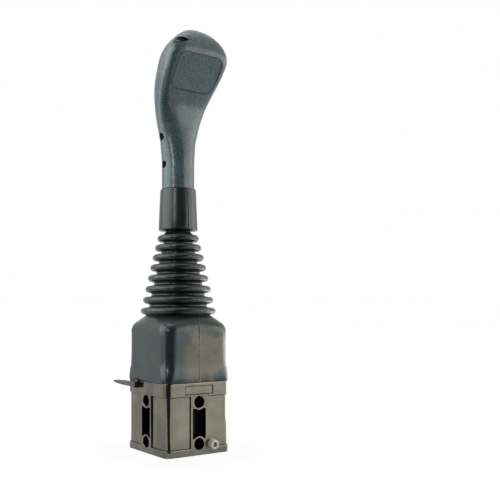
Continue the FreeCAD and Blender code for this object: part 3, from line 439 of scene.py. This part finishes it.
def surface(name, grid, material, around=True, closed=False, caps=False, crease=50.0):
    """Mesh of a grid of points in millimetres: neighbouring rows are joined by four-sided faces.

    around joins a row's last point to its first, closed joins the last row to the first,
    caps close the first and the last row with one face each.
    """
    rows, columns = grid.shape[:2]
    index = np.arange(rows * columns).reshape(rows, columns)
    low = index if closed else index[:-1]
    high = np.roll(index, -1, axis=0) if closed else index[1:]
    quads = np.stack([low, np.roll(low, -1, axis=1), np.roll(high, -1, axis=1), high], axis=-1)
    if not around:
        quads = quads[:, :-1]
    faces = quads.reshape(-1, 4).tolist()
    if caps:
        faces.append(index[0][::-1].tolist())
        faces.append(index[-1].tolist())
    mesh = bpy.data.meshes.new(name)
    mesh.from_pydata((grid.reshape(-1, 3) * MM).tolist(), [], faces)
    mesh.polygons.foreach_set("use_smooth", np.ones(len(mesh.polygons), dtype=bool))
    mesh.set_sharp_from_angle(angle=math.radians(crease))
    mesh.materials.append(material)
    mesh.validate()
    piece = bpy.data.objects.new(name, mesh)
    bpy.context.scene.collection.objects.link(piece)
    return piece


def square_reach(angle, half, corner):
    """Distance from the axis to a rounded square: its flat sides, and circles at its corners."""
    along = np.abs(np.cos(angle))
    across = np.abs(np.sin(angle))
    flat = half / np.maximum(along, across)
    centre = half - corner
    dot = centre * (along + across)
    arc = dot + np.sqrt(np.maximum(dot ** 2 - 2 * centre ** 2 + corner ** 2, 0.0))
    return np.where(flat * np.minimum(along, across) > centre, arc, flat)


def angles_round(count):
    """Even angles, with extra ones close to the two moulding lines."""
    even = np.arange(count) * 2 * math.pi / count
    near = np.radians(np.array([0.25, 0.5, 0.8, 1.2]))
    extra = [middle + side * near for middle in (math.pi / 2, 1.5 * math.pi) for side in (-1, 1)]
    return np.unique(np.round(np.concatenate([even, *extra]), 7))


def turned(reach, height, angle, line):
    """Points at a distance from the axis and a height, with the raised moulding line at x = 0.

    The line's height falls off as a bell curve across it.
    """
    bell_width = 0.28
    offset = reach * np.cos(angle)
    reach = reach + line * np.exp(-(offset / bell_width) ** 2)
    height = np.broadcast_to(height, reach.shape)
    return np.stack([reach * np.cos(angle), reach * np.sin(angle), height], axis=-1)


def swing(start, stop, count):
    """Angles of an arc in radians, from degrees."""
    return np.radians(np.linspace(start, stop, count))


def ring_height(ring):
    """Height of a ring: even steps, and the middle rings a little higher, as a skewed half wave."""
    share = np.clip(ring / LAST_RING, 0, 1)
    return RING_Z + RING_PITCH * ring + RING_LIFT * np.sin(math.pi * share ** 1.25)


def ring_walls(offset, first, last):
    """Radii and heights of rings first to last, each with the groove above it.

    A ring is a half circle about a point one rim radius inside the ring's radius, a groove is a
    half circle the other way. The wall's inner side has the offset in both radii.
    """
    ring = np.arange(first, last + 1)[:, None]
    radius = RING_R - RING_STEP * ring
    height = ring_height(ring)
    arc = swing(-90, 90, ARC_POINTS)[None, :]
    ring_r = radius - RIM + (RIM - offset) * np.cos(arc)
    ring_z = height + (RIM - offset) * np.sin(arc)
    groove_r = radius - RING_STEP / 2 - RING_DEPTH + GROOVE - (GROOVE + offset) * np.cos(arc)
    groove_z = (height + ring_height(ring + 1)) / 2 + (GROOVE + offset) * np.sin(arc)
    return np.hstack([ring_r, groove_r]).ravel(), np.hstack([ring_z, groove_z]).ravel()


def boot_lower(sizes, material):
    """Skirt, shoulder and the first two rings.

    Each row is a rounded square, a circle or a mix of both, at one height. The lip swells as half
    a sine wave over the foot of the skirt; the shoulder's edge is a curve of the second degree.
    """
    shoulder_foot = SHOULDER_Z - 5.0
    shoulder_peak = SHOULDER_Z + 0.6
    slope_foot = 116.3
    corner_levels = (BASE_TOP, BASE_TOP + 7, BASE_TOP + 20, SHOULDER_Z)
    corner_radii = (8.0, 9.0, 10.8, 11.6)
    rise = np.linspace(0, 1, 15)
    wave = np.clip(np.sin(math.pi * (0.16 + 0.84 * rise ** 0.8)), 0, 1)
    foot_z = BASE_TOP + 0.15 + 13.0 * rise ** 1.25
    foot_half = SKIRT_HALF + sizes.lip_swell / MM * wave ** 0.8
    side_z = np.linspace(BASE_TOP + 18, shoulder_foot, 8)
    side_half = SKIRT_HALF + 0.2 * ((side_z - side_z[0]) / (side_z[-1] - side_z[0])) ** 2
    bend = np.linspace(0, 1, 9)[1:]
    bend_z = (1 - bend) ** 2 * shoulder_foot + 2 * bend * (1 - bend) * shoulder_peak + bend ** 2 * slope_foot
    slope = np.linspace(0, 1, 5)[1:]
    slope_z = slope_foot + (BELLOWS_Z - slope_foot) * slope ** 0.92
    upper = len(bend) + len(slope)
    z = np.concatenate([foot_z, side_z, bend_z, slope_z])
    half = np.concatenate([foot_half, side_half, np.full(upper, SKIRT_HALF + 0.2)])
    mix = np.concatenate([np.zeros(len(z) - upper), 0.4 * bend ** 2, 0.4 + 0.6 * slope])[:, None]
    angle = angles_round(sizes.columns)[None, :]
    corner = np.interp(z, corner_levels, corner_radii)
    skirt = (1 - mix) * square_reach(angle, half[:, None], corner[:, None]) + mix * BELLOWS_R
    cut = ARC_POINTS // 2
    outer_r, outer_z = (wall[:-cut] for wall in ring_walls(0.0, 0, SPLIT_RING))
    inner_r, inner_z = (wall[:-cut][::-1] for wall in ring_walls(WALL, 0, SPLIT_RING))
    rings = np.concatenate([outer_r, inner_r])[:, None] + 0 * angle
    throat = np.full_like(angle, BELLOWS_R - SKIRT_WALL)
    hollow_z = np.array([SHOULDER_Z - 3.5, 90.0, BASE_TOP + 0.2])
    hollow_half = np.array([34.0, 33.9, 33.9]) - SKIRT_WALL
    hollow = square_reach(angle, hollow_half[:, None], 9.4)
    reach = np.concatenate([skirt, rings, throat, hollow])
    height = np.concatenate([z, outer_z, inner_z, [BELLOWS_Z - WALL], hollow_z])[:, None]
    outside = len(z) + len(outer_z)
    line = (np.arange(len(height)) < outside)[:, None] * sizes.parting_line / MM
    return surface("boot_lower", turned(reach, height, angle, line), material, closed=True)


def boot_upper(sizes, material):
    """The other six rings, the neck and the collar: one outline carried round the axis.

    The collar's lip and its upper edge are quarter circles.
    """
    below = ARC_POINTS + ARC_POINTS // 2
    outer_r, outer_z = (wall[below:-ARC_POINTS] for wall in ring_walls(0.0, SPLIT_RING, LAST_RING))
    inner_r, inner_z = (wall[below:-ARC_POINTS] for wall in ring_walls(WALL, SPLIT_RING, LAST_RING))
    quarter = swing(-90, 0, 6)
    crest = swing(0, 90, 6)
    neck = RING_R - LAST_RING * RING_STEP - RING_STEP / 2 - RING_DEPTH
    top = RING_Z + LAST_RING * RING_PITCH + RING_PITCH / 2
    neck_r = np.concatenate([neck + GROOVE - GROOVE * np.cos(quarter), [neck, neck + 0.4]])
    neck_z = np.concatenate([top + GROOVE * np.sin(quarter), [COLLAR_FOOT - 0.8, COLLAR_FOOT - 0.3]])
    collar_r = np.concatenate([[15.0], 16.75 + np.cos(quarter), [17.35], 15.4 + 0.9 * np.cos(crest)])
    collar_z = np.concatenate([[COLLAR_FOOT + 0.3], COLLAR_FOOT + 1.4 + 0.9 * np.sin(quarter), [210.0],
                               COLLAR_TOP - 0.9 + 0.9 * np.sin(crest)])
    socket_r = np.array([14.4, 13.7, 13.7, 10.56, 10.56])
    socket_z = np.array([COLLAR_TOP, COLLAR_TOP - 0.7, 203.6, 201.5, COLLAR_FOOT])
    radius = np.concatenate([outer_r, neck_r, collar_r, socket_r, inner_r[::-1]])[:, None]
    height = np.concatenate([outer_z, neck_z, collar_z, socket_z, inner_z[::-1]])[:, None]
    angle = angles_round(sizes.columns)[None, :]
    outside = len(outer_r) + len(neck_r) + len(collar_r)
    line = (np.arange(len(radius)) < outside)[:, None] * sizes.parting_line / MM
    grid = turned(radius + 0 * angle, height, angle, line)
    return surface("boot_upper", grid, material, closed=True, crease=38.0)


def strap_band(material):
    """Band round the boot's foot: a flat rectangle carried along a rounded square."""
    angle = np.arange(160) * 2 * math.pi / 160
    half = np.array([30.6, 31.9, 31.9, 30.6])[:, None]
    corner = np.array([8.4, 9.7, 9.7, 8.4])[:, None]
    height = np.array([63.7, 63.7, 68.5, 68.5])[:, None]
    reach = square_reach(angle[None, :], half, corner)
    grid = np.stack([reach * np.cos(angle), reach * np.sin(angle), height + 0 * reach], axis=-1)
    return surface("strap_band", grid, material, closed=True)


def rounded_slab(half_a, half_b, edge, count=5):
    """Outline of a rectangle with rounded corners, four quarter circles joined by straight lines."""
    arc = swing(0, 90, count)
    turn = np.repeat(np.arange(4) * math.pi / 2, count) + np.tile(arc, 4)
    centre_a = np.repeat([1, -1, -1, 1], count) * (half_a - edge)
    centre_b = np.repeat([1, 1, -1, -1], count) * (half_b - edge)
    return centre_a + edge * np.cos(turn), centre_b + edge * np.sin(turn)


def soft_box(name, middle, halves, edge, material):
    """Box with rounded edges: its outline shrinks along a quarter circle towards both ends."""
    arc = swing(0, 90, 6)
    pull = edge * (1 - np.sin(arc))
    lift = edge * (1 - np.cos(arc)) - halves[2]
    inset = np.concatenate([pull, pull[::-1]])[:, None]
    rise = np.concatenate([lift, -lift[::-1]])[:, None]
    a, b = rounded_slab(halves[0], halves[1], edge)
    grid = np.stack([middle[0] + a * (1 - inset / halves[0]), middle[1] + b * (1 - inset / halves[1]),
                     middle[2] + rise + 0 * a], axis=-1)
    return surface(name, grid, material, caps=True)


def strap_tail(sizes, material):
    """Free end of the strap: a slim rounded outline carried along -Y.

    Its outer side rises and falls as a saw wave that leans across the strap; the width is even at
    first and then narrows to a round tip.
    """
    half_thick = 0.65
    wide = 2.4
    narrow = 1.2
    tip = swing(10, 90, 7)
    way = np.concatenate([np.linspace(0, TAIL_LENGTH, 200), TAIL_LENGTH + narrow * np.sin(tip)])[:, None]
    width = np.interp(way, [0, 21.5, TAIL_LENGTH], [wide, wide, narrow])
    width[-len(tip):, 0] = narrow * np.cos(swing(10, 88, len(tip)))
    a, b = rounded_slab(half_thick, 1.0, 0.25, 4)
    across = np.clip(b, -1, 1) * width
    phase = (way + TOOTH_LEAN * across) / (sizes.tooth_pitch / MM)
    saw = np.abs(phase - np.floor(phase) - 0.35)
    tooth = sizes.tooth_height / MM * np.clip(1 - saw / 0.5, 0, 1)
    outer = np.clip(a / half_thick, 0, 1) * (np.abs(b) < 0.97)
    fade = np.clip((38.5 - way) / 4, 0, 1) * np.clip((way - 4.0) / 1.5, 0, 1)
    grid = np.stack([TAIL_X + a + tooth * outer * fade, TAIL_Y - way + 0 * across, TAIL_Z + across], axis=-1)
    return surface("strap_tail", grid, material, caps=True, crease=70.0)


def on_label(points, height):
    """Points of the label's plane, across and up it, at a height above it, in the row frame."""
    across = points[..., 0:1] * np.array([-1.0, 0.0, 0.0])
    return LABEL_CENTRE + across + points[..., 1:2] * LABEL_UP + height * LABEL_OUT


def egg(share):
    """Outlines of the label at shares of its size.

    An egg is half an ellipse above its widest line and a longer half below.
    """
    angle = np.arange(120) * 2 * math.pi / 120
    share = share[:, None]
    reach = np.where(np.sin(angle) >= 0, EGG_UP, EGG_DOWN)
    across = share * EGG_HALF_WIDTH * np.cos(angle)
    along = EGG_MIDDLE * (1 - share) + share * reach * np.sin(angle)
    return np.stack([-across, along], axis=-1)


def label_cover(material):
    """Domed cover: eggs, smaller and smaller, that rise steeply at the rim and then level out.

    The height over the plate is that of a rounded box: the root of 1 less the sixth power of the
    share of the outline.
    """
    share = 0.915 * np.cos(swing(0, 88.5, 26))
    height = 0.6 + 1.1 * np.sqrt(np.clip(1 - share ** 6, 0, 1))
    height[0] = 1.0
    share = np.concatenate([share[:1], share])
    height = np.concatenate([[0.3], height])
    grid = on_label(egg(share), height[:, None, None])
    return surface("label_cover", grid, material, caps=True, crease=60.0)


def label_rim(material):
    """Clear bevelled rim of the cover: a low rounded outline carried along the egg."""
    share = np.array([1.0, 1.0, 0.992, 0.975, 0.955, 0.94, 0.932, 0.932])
    height = np.array([0.3, 0.75, 1.05, 1.30, 1.42, 1.38, 1.20, 0.3])
    grid = on_label(egg(share), height[:, None, None])
    return surface("label_rim", grid, material, closed=True, crease=40.0)


def printed(piece):
    """Fix a printed mark to the stick, as a part of the label."""
    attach(piece, "stick")


def label_mark(name, outline, material, high=MARK_HIGH):
    """Thin printed mark: its outline in the label's plane, given twice, below and above the dome."""
    outline = np.array(outline, dtype=float)
    after = np.roll(outline, -1, axis=0)
    area = np.sum(outline[:, 0] * after[:, 1] - after[:, 0] * outline[:, 1])
    if area > 0:
        outline = outline[::-1]
    grid = np.stack([on_label(outline, MARK_LOW), on_label(outline, high)])[:, ::-1]
    printed(surface(name, grid, material, caps=True, crease=30.0))


def label_ring(name, middle, inner, outer, material):
    """Flat printed ring: a slim rectangle carried round a circle in the label's plane."""
    angle = np.arange(64) * 2 * math.pi / 64
    circle = np.stack([np.cos(angle), np.sin(angle)], axis=-1)
    corners = ((inner, MARK_HIGH), (outer, MARK_HIGH), (outer, MARK_LOW), (inner, MARK_LOW))
    grid = np.stack([on_label(middle + radius * circle, height) for radius, height in corners])
    printed(surface(name, grid, material, closed=True, crease=30.0))


def arrow_outline(tail, tip, width, head):
    """Arrow from tail to tip: a bar of a width with a pointed head."""
    tail, tip = np.array(tail, dtype=float), np.array(tip, dtype=float)
    way = (tip - tail) / np.linalg.norm(tip - tail)
    side = np.array([-way[1], way[0]])
    neck = tip - way * head
    return np.array([tail + side * width / 2, neck + side * width / 2, neck + side * head * 0.62, tip,
                     neck - side * head * 0.62, neck - side * width / 2, tail - side * width / 2])


class LEVER_OT_boot(bpy.types.Operator):
    """Rubber boot in two parts"""
    bl_idname = "lever.boot"
    bl_label = "Rubber boot"

    def execute(self, context):
        """Make both parts; their common edge lies in a groove."""
        colours = context.scene.lever_colours
        sizes = context.scene.lever_sizes
        # Painted reflections on the skirt's +X and +Y sides and painted shadow on the collar's top; above the
        # skirt the rubber is of one even colour.
        marks = ((skirt_x_painted_reflection, (0.001, 0.017, 0.018)), (skirt_y_painted_reflection, (0.003, 0.026, 0.037)),
                 (skirt_y_painted_pale_reflection, (0.148, 0.136, 0.084)), (above_skirt, (0.012, 0.019, 0.017)),
                 (collar_top, (0.001, 0.001, 0.001)))
        rubber = surface_finish("boot_rubber", colours.rubber_bloom, colours.rubber, rough=(0.20, 0.33),
                                clouds=24.0, grain=700.0, depth=0.05, edges=(0.41, 0.59), marks=marks,
                                Specular_IOR_Level=0.42)
        lower = boot_lower(sizes, rubber)
        upper = boot_upper(sizes, rubber)
        for piece in (lower, upper):
            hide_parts("rubber_boot")
        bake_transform(lower)
        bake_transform(upper)
        return {"FINISHED"}


class LEVER_OT_strap(bpy.types.Operator):
    """Strap with its lock head and its toothed free end"""
    bl_idname = "lever.strap"
    bl_label = "Strap"

    def execute(self, context):
        """Make the band, the head, the link between them and the free end."""
        colours = context.scene.lever_colours
        nylon = surface_finish("strap_nylon", colours.strap, shade(colours.strap, 0.5), rough=(0.35, 0.5),
                               clouds=120.0, grain=900.0, depth=0.15)
        # Painted shade between the teeth of the free end.
        toothed = surface_finish("strap_toothed_nylon", colours.strap, shade(colours.strap, 0.6),
                                 rough=(0.3, 0.45), clouds=120.0, grain=900.0, depth=0.15,
                                 marks=((tooth_painted_shade, (0.016, 0.016, 0.014)),))
        lock = surface_finish("strap_lock_nylon", (0.030, 0.030, 0.027), (0.014, 0.014, 0.013),
                              rough=(0.3, 0.45), clouds=300.0, grain=900.0, depth=0.15)
        pieces = [strap_band(nylon), strap_tail(context.scene.lever_sizes, toothed),
                  soft_box("strap_head", (36.6, TAIL_Y, TAIL_Z), (2.3, 3.1, 2.8), 0.8, lock),
                  soft_box("strap_link", (33.3, TAIL_Y, 64.5), (2.5, 2.2, 0.8), 0.3, nylon),
                  soft_box("strap_drop", (35.05, TAIL_Y, 63.0), (0.75, 2.2, 2.3), 0.3, nylon)]
        for piece in pieces:
            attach(piece, "base")
            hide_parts("boot_strap")
        return {"FINISHED"}


class LEVER_OT_base(bpy.types.Operator):
    """Finish of the base casting, its sleeve and its clamp screws"""
    bl_idname = "lever.base"
    bl_label = "Base finish"

    def execute(self, context):
        """Dull plating with painted shade in streaks, towards the foot, in thin outlines and inside the
        casting; black plastic and zinc-plated steel.
        """
        colours = context.scene.lever_colours
        # Painted shade on the plating: streaks on the +X side, darker towards the foot, thin dark outlines
        # round the name plate, the panels and the screws' seats, black inside.
        marks = ((x_side_painted_shade, (0.086, 0.084, 0.068)), (foot_painted_shade, (0.090, 0.092, 0.078)),
                 (plate_edge_painted_shade, (0.012, 0.012, 0.010)), (panel_corner_painted_shade, (0.010, 0.010, 0.008)),
                 (seat_edge_painted_shade, (0.030, 0.030, 0.025)), (inside_painted_shade, (0.002, 0.002, 0.002)))
        dress(surface_finish("base_paint", colours.paint, colours.paint_dark, rough=(0.09, 0.16), clouds=45.0,
                             grain=800.0, depth=0.02, marks=marks, Metallic=0.92), "base_housing")
        dress(surface_finish("sleeve_plastic", (0.004, 0.004, 0.004), (0.002, 0.002, 0.002), rough=(0.6, 0.7),
                             Specular_IOR_Level=0.12), "dust_sleeve")
        dress(surface_finish("zinc_steel", (0.56, 0.545, 0.48), (0.42, 0.41, 0.36), rough=(0.34, 0.46),
                             clouds=400.0, Metallic=0.35, depth=0.08), "conduit_clamp_screws")
        return {"FINISHED"}


class LEVER_OT_mechanism(bpy.types.Operator):
    """Finishes of the pivot, the rod and the cable ends inside the boot"""
    bl_idname = "lever.mechanism"
    bl_label = "Mechanism finishes"

    def execute(self, context):
        """Ground, plated and polished steel, bronze and grey frame metal."""
        dress(surface_finish("frame_metal", (0.33, 0.33, 0.33), (0.24, 0.24, 0.24), rough=(0.4, 0.55),
                             Metallic=1.0), "pivot_frame", "gimbal_ring")
        dress(surface_finish("zinc_steel_inside", (0.62, 0.62, 0.58), (0.5, 0.5, 0.46), rough=(0.3, 0.4),
                             Metallic=1.0, depth=0.08),
              "frame_washers", "frame_screws", "rod_jam_nut", "stud_clips", "stud_spacers", "roll_rod_end",
              "pitch_rod_end")
        dress(surface_finish("ground_steel", (0.55, 0.55, 0.55), (0.42, 0.42, 0.42), rough=(0.2, 0.3),
                             Metallic=1.0, stretch=(1.0, 1.0, 0.05)),
              "pitch_pins", "roll_pins", "lever_rod", "roll_cable_stud", "pitch_cable_stud")
        dress(surface_finish("bush_bronze", (0.52, 0.34, 0.15), (0.38, 0.24, 0.10), rough=(0.3, 0.45),
                             Metallic=1.0), "pitch_bushes", "roll_bushes")
        dress(surface_finish("hub_steel", (0.20, 0.20, 0.20), (0.12, 0.12, 0.12), rough=(0.35, 0.5),
                             Metallic=1.0), "hub", "rod_insert")
        dress(surface_finish("polished_steel", (0.66, 0.66, 0.66), (0.58, 0.58, 0.58), rough=(0.08, 0.16),
                             Metallic=1.0, depth=0.03), "roll_rod_end_ball", "pitch_rod_end_ball")
        return {"FINISHED"}


class LEVER_OT_handle(bpy.types.Operator):
    """Finish of the two handle halves, the pad and the handle's screws"""
    bl_idname = "lever.handle"
    bl_label = "Handle finish"

    def execute(self, context):
        """Grained plastic with painted shade in its grain's pits and painted highlights on its peaks, painted
        shade in the groove round the pad, a coarser grain on the pad, and dark screws.
        """
        colours = context.scene.lever_colours
        # Painted shade in the groove round the pad.
        groove = (pad_groove_painted_shade, (0.008, 0.012, 0.013))
        dress(surface_finish("handle_plastic", colours.handle, colours.handle_dark, rough=(0.25, 0.34),
                             clouds=60.0, grain=1000.0, depth=0.35, painted_grain_light=0.42,
                             marks=((half_seam, (0.012, 0.016, 0.017)), groove),
                             Specular_IOR_Level=0.42, Coat_Weight=0.22, Coat_Roughness=0.12),
              "handle_right_half", "handle_left_half")
        dress(surface_finish("pad_plastic", (0.042, 0.086, 0.097), (0.031, 0.065, 0.074), rough=(0.36, 0.48),
                             clouds=60.0, grain=1050.0, depth=0.6, painted_grain_light=0.65, marks=(groove,)), "front_pad")
        dress(surface_finish("dark_screw", (0.03, 0.03, 0.03), (0.015, 0.015, 0.015), rough=(0.25, 0.4),
                             Metallic=1.0), "handle_screws")
        return {"FINISHED"}


class LEVER_OT_label(bpy.types.Operator):
    """Label plate, its dome and the printed marks"""
    bl_idname = "lever.label"
    bl_label = "Label"

    def execute(self, context):
        """Pale glossy ground with red, black and yellow marks of a plain design."""
        colours = context.scene.lever_colours
        cover = label_cover(surface_finish("label_ground", colours.label, shade(colours.label, 0.94),
                                           rough=(0.08, 0.14), clouds=30.0, depth=0.01, Coat_Weight=0.5))
        rim = label_rim(surface_finish("label_clear_rim", (0.62, 0.64, 0.63), (0.50, 0.52, 0.51),
                                       rough=(0.05, 0.10), clouds=90.0, depth=0.01, Coat_Weight=0.8))
        for piece in (cover, rim):
            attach(piece, "stick")
            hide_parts("label_dome")
        dress(surface_finish("label_edge", (0.62, 0.62, 0.60), (0.52, 0.52, 0.50), rough=(0.15, 0.25),
                             depth=0.02), "label_plate")
        red, black, yellow = (
            surface_finish("mark_" + name, colour, shade(colour, 0.85), rough=(0.12, 0.2), depth=0.02)
            for name, colour in (("red", colours.mark_red), ("black", colours.mark_black),
                                 ("yellow", colours.mark_yellow)))
        middle = (0.0, EGG_MIDDLE)
        label_ring("mark_ring", middle, 4.3, 5.1, black)
        label_ring("mark_dot", middle, 0.05, 2.4, yellow)
        for name, tail, tip in (("mark_up", (0, 0.4), (0, 7.4)), ("mark_down", (0, -12.4), (0, -19.4))):
            label_mark(name, arrow_outline(tail, tip, 2.2, 4.4), red)
        chevron = np.array([(0, -3.0), (1.5, -3.0), (3.8, 0), (1.5, 3.0), (0, 3.0), (2.3, 0)])
        square = np.array([(0, -1.0), (1.0, 0), (0, 1.0), (-1.0, 0)])
        for side, word in ((-1, "left"), (1, "right")):
            for step in (0, 1):
                outline = (chevron + (6.4 + 3.2 * step, 0)) * (side, 1) + middle
                label_mark("mark_chevron_%s_%d" % (word, step), outline, black)
            for step, rise in ((0, 4.4), (1, -16.4)):
                place = (side * 7.0, rise)
                label_mark("mark_edge_%s_%d" % (word, step), 2.5 * square + place, black, high=1.76)
                label_mark("mark_yellow_%s_%d" % (word, step), 1.9 * square + place, yellow, high=1.80)
        for step, half in enumerate((4.6, 3.1, 1.6)):
            bar = np.array([(-half, 0), (half, 0), (half, 1.1), (-half, 1.1)]) + (0, -22.6 - 2.2 * step)
            label_mark("mark_bar_%d" % step, bar, black)
        bow = swing(35, 145, 15)
        ring = np.stack([np.cos(bow), np.sin(bow)], axis=-1)
        label_mark("mark_bow", np.concatenate([6.6 * ring, 5.3 * ring[::-1]]) + (0, 4.6), red)
        return {"FINISHED"}


def soft_light(name, place, size, power, aim, tint=(1.0, 1.0, 1.0)):
    """Big soft light that faces a point."""
    data = bpy.data.lights.new(name, "AREA")
    data.shape = "RECTANGLE"
    data.size, data.size_y = size
    data.energy = power
    data.color = tint
    light = bpy.data.objects.new(name, data)
    light.location = place
    light.rotation_euler = (Vector(aim) - Vector(place)).to_track_quat("-Z", "Y").to_euler()
    light.visible_camera = False
    bpy.context.scene.collection.objects.link(light)
    return light


def seen_directly(tree):
    """1 for what the camera sees, straight or by gloss or glass, and 0 for light that bounces on."""
    path = node_of(tree, "ShaderNodeLightPath")
    direct = calc(tree, "MAXIMUM", path.outputs["Is Camera Ray"], path.outputs["Is Glossy Ray"])
    return calc(tree, "MAXIMUM", direct, path.outputs["Is Transmission Ray"])


def dark_card():
    """Black card on the camera's side: a strip on the floor that turns up into a part of a cylinder
    and leans in at the top.

    Its left and right edges are degrees from the camera's direction, closer together near the
    lever. Only reflections see it, as they see the unlit side of a studio.
    """
    far = 1300.0
    radius = np.concatenate([np.geomspace(60, far, 12), np.full(8, far), np.linspace(1200, 420, 6)])[:, None]
    height = np.concatenate([np.full(12, 1.5), np.linspace(100, 1700, 8), np.linspace(1900, 2350, 6)])
    height = height[:, None]
    spread = np.interp(radius, [60, 420], [0.34, 1.0])
    left = 38
    right = np.interp(height, [1.5, 400], [30, 50])
    share = np.linspace(0, 1, 40)[None, :]
    angle = np.radians(CAMERA_AZIMUTH + spread * ((left + right) * share - left))
    grid = np.stack([radius * np.cos(angle), radius * np.sin(angle), height + 0 * angle], axis=-1)
    material = bpy.data.materials.new("black_card")
    material.use_nodes = True
    shader = material.node_tree.nodes["Principled BSDF"]
    shader.inputs["Base Color"].default_value = (0.004, 0.004, 0.004, 1.0)
    shader.inputs["Roughness"].default_value = 1.0
    shader.inputs["Specular IOR Level"].default_value = 0.0
    card = surface("dark_card", grid, material, around=False)
    card.visible_camera = False
    card.visible_diffuse = False
    card.visible_shadow = False
    return card


def floor_disc():
    """Round floor: rings of points out to a radius, level at height zero."""
    radius = np.concatenate([[0.001], np.geomspace(50, 6000, 24)])[:, None]
    angle = np.arange(96) * 2 * math.pi / 96
    grid = radius[:, :, None] * np.stack([np.cos(angle), np.sin(angle), 0 * angle], axis=-1)[None, :, :]
    material = bpy.data.materials.new("pale_floor")
    material.use_nodes = True
    tree = material.node_tree
    shader = tree.nodes["Principled BSDF"]
    shader.inputs["Roughness"].default_value = 0.9
    shader.inputs["Base Color"].default_value = (0.86, 0.86, 0.86, 1.0)
    place = node_of(tree, "ShaderNodeTexCoord").outputs["Object"]
    length = node_of(tree, "ShaderNodeVectorMath", operation="LENGTH")
    tree.links.new(place, length.inputs[0])
    far = ranged(tree, length.outputs["Value"], 0.06, 0.16, 0.88, 1.0)
    seen = seen_directly(tree)
    glow = node_of(tree, "ShaderNodeEmission")
    glow.inputs["Color"].default_value = (1.0, 1.0, 1.0, 1.0)
    tree.links.new(calc(tree, "MULTIPLY", far, seen), glow.inputs["Strength"])
    both = node_of(tree, "ShaderNodeAddShader")
    tree.links.new(shader.outputs[0], both.inputs[0])
    tree.links.new(glow.outputs[0], both.inputs[1])
    tree.links.new(both.outputs[0], tree.nodes["Material Output"].inputs["Surface"])
    return surface("floor", grid[::-1], material, caps=True)


class LEVER_OT_stage(bpy.types.Operator):
    """Pale floor, soft lights and the camera"""
    bl_idname = "lever.stage"
    bl_label = "Stage"

    def execute(self, context):
        """Two big lights beside the camera, a strip, one overhead, a low one, a surround and a camera."""
        stage = context.scene.lever_stage
        floor_disc()
        dark_card()
        ahead = Vector((0.545, 0.839, 0.0))
        aside = Vector((-0.839, 0.545, 0.0))
        up = Vector((0.0, 0.0, 1.0))
        aim = 0.19 * up
        soft_light("light_right", ahead * 0.06 + aside * 0.92 + up * 0.24, (1.2, 0.7),
                   0.55 * stage.side_power, aim, (1.0, 0.995, 0.98))
        soft_light("light_left", ahead * 0.235 - aside * 0.88 + up * 0.56, (1.2, 1.0),
                   stage.side_power, aim, (0.92, 1.0, 1.02))
        soft_light("light_strip", ahead * 0.83 - aside * 0.33 + up * 0.47, (0.04, 0.28),
                   stage.strip_power, aim)
        soft_light("light_top", ahead * 0.15 + up * 1.15, (0.7, 0.7), stage.top_power, aim)
        soft_light("light_low", ahead * -0.11 + aside * 0.21 + up * 0.02, (0.24, 0.24),
                   stage.low_power, ahead * 0.02 + up * 0.30)
        world = bpy.data.worlds.new("white_surround")
        world.use_nodes = True
        tree = world.node_tree
        backdrop = tree.nodes["Background"]
        glow = ranged(tree, seen_directly(tree), 0.0, 1.0, stage.fill, 1.0)
        backdrop.inputs["Color"].default_value = (1.0, 1.0, 1.0, 1.0)
        tree.links.new(glow, backdrop.inputs["Strength"])
        context.scene.world = world
        data = bpy.data.cameras.new("camera")
        data.sensor_width = 36.0
        data.lens = 50.4
        data.shift_x = 0.144
        data.shift_y = 0.126
        data.clip_start = 0.01
        camera = bpy.data.objects.new("camera", data)
        camera.location = ahead * stage.distance + up * stage.height
        camera.rotation_euler = (math.pi / 2, 0.0, math.radians(90 + CAMERA_AZIMUTH))
        context.scene.collection.objects.link(camera)
        context.scene.camera = camera
        context.scene.view_settings.view_transform = "Standard"
        return {"FINISHED"}


STEPS = (LEVER_OT_boot, LEVER_OT_strap, LEVER_OT_base, LEVER_OT_mechanism, LEVER_OT_handle, LEVER_OT_label,
         LEVER_OT_stage)


class LEVER_PT_sidebar(bpy.types.Panel):
    """Settings and steps of the lever"""
    bl_idname = "LEVER_PT_sidebar"
    bl_label = "Cable control lever"
    bl_space_type = "VIEW_3D"
    bl_region_type = "UI"
    bl_category = "Lever"

    def draw(self, context):
        """List the settings, then the steps in their order."""
        layout = self.layout
        for group in (context.scene.lever_sizes, context.scene.lever_colours, context.scene.lever_stage):
            for key in group.__annotations__:
                layout.prop(group, key)
        for step in STEPS:
            layout.operator(step.bl_idname)


CLASSES = (LeverSizes, LeverColours, LeverStage, *STEPS, LEVER_PT_sidebar)


def register():
    """Make the classes and the settings known to Blender."""
    for kind in CLASSES:
        bpy.utils.register_class(kind)
    bpy.types.Scene.lever_sizes = PointerProperty(type=LeverSizes)
    bpy.types.Scene.lever_colours = PointerProperty(type=LeverColours)
    bpy.types.Scene.lever_stage = PointerProperty(type=LeverStage)


def unregister():
    """Take them away again."""
    del bpy.types.Scene.lever_stage
    del bpy.types.Scene.lever_colours
    del bpy.types.Scene.lever_sizes
    for kind in reversed(CLASSES):
        bpy.utils.unregister_class(kind)


def main():
    """Build everything in order."""
    register()
    bpy.ops.lever.boot()
    bpy.ops.lever.strap()
    bpy.ops.lever.base()
    bpy.ops.lever.mechanism()
    bpy.ops.lever.handle()
    bpy.ops.lever.label()
    bpy.ops.lever.stage()


if __name__ == "__main__":
    main()
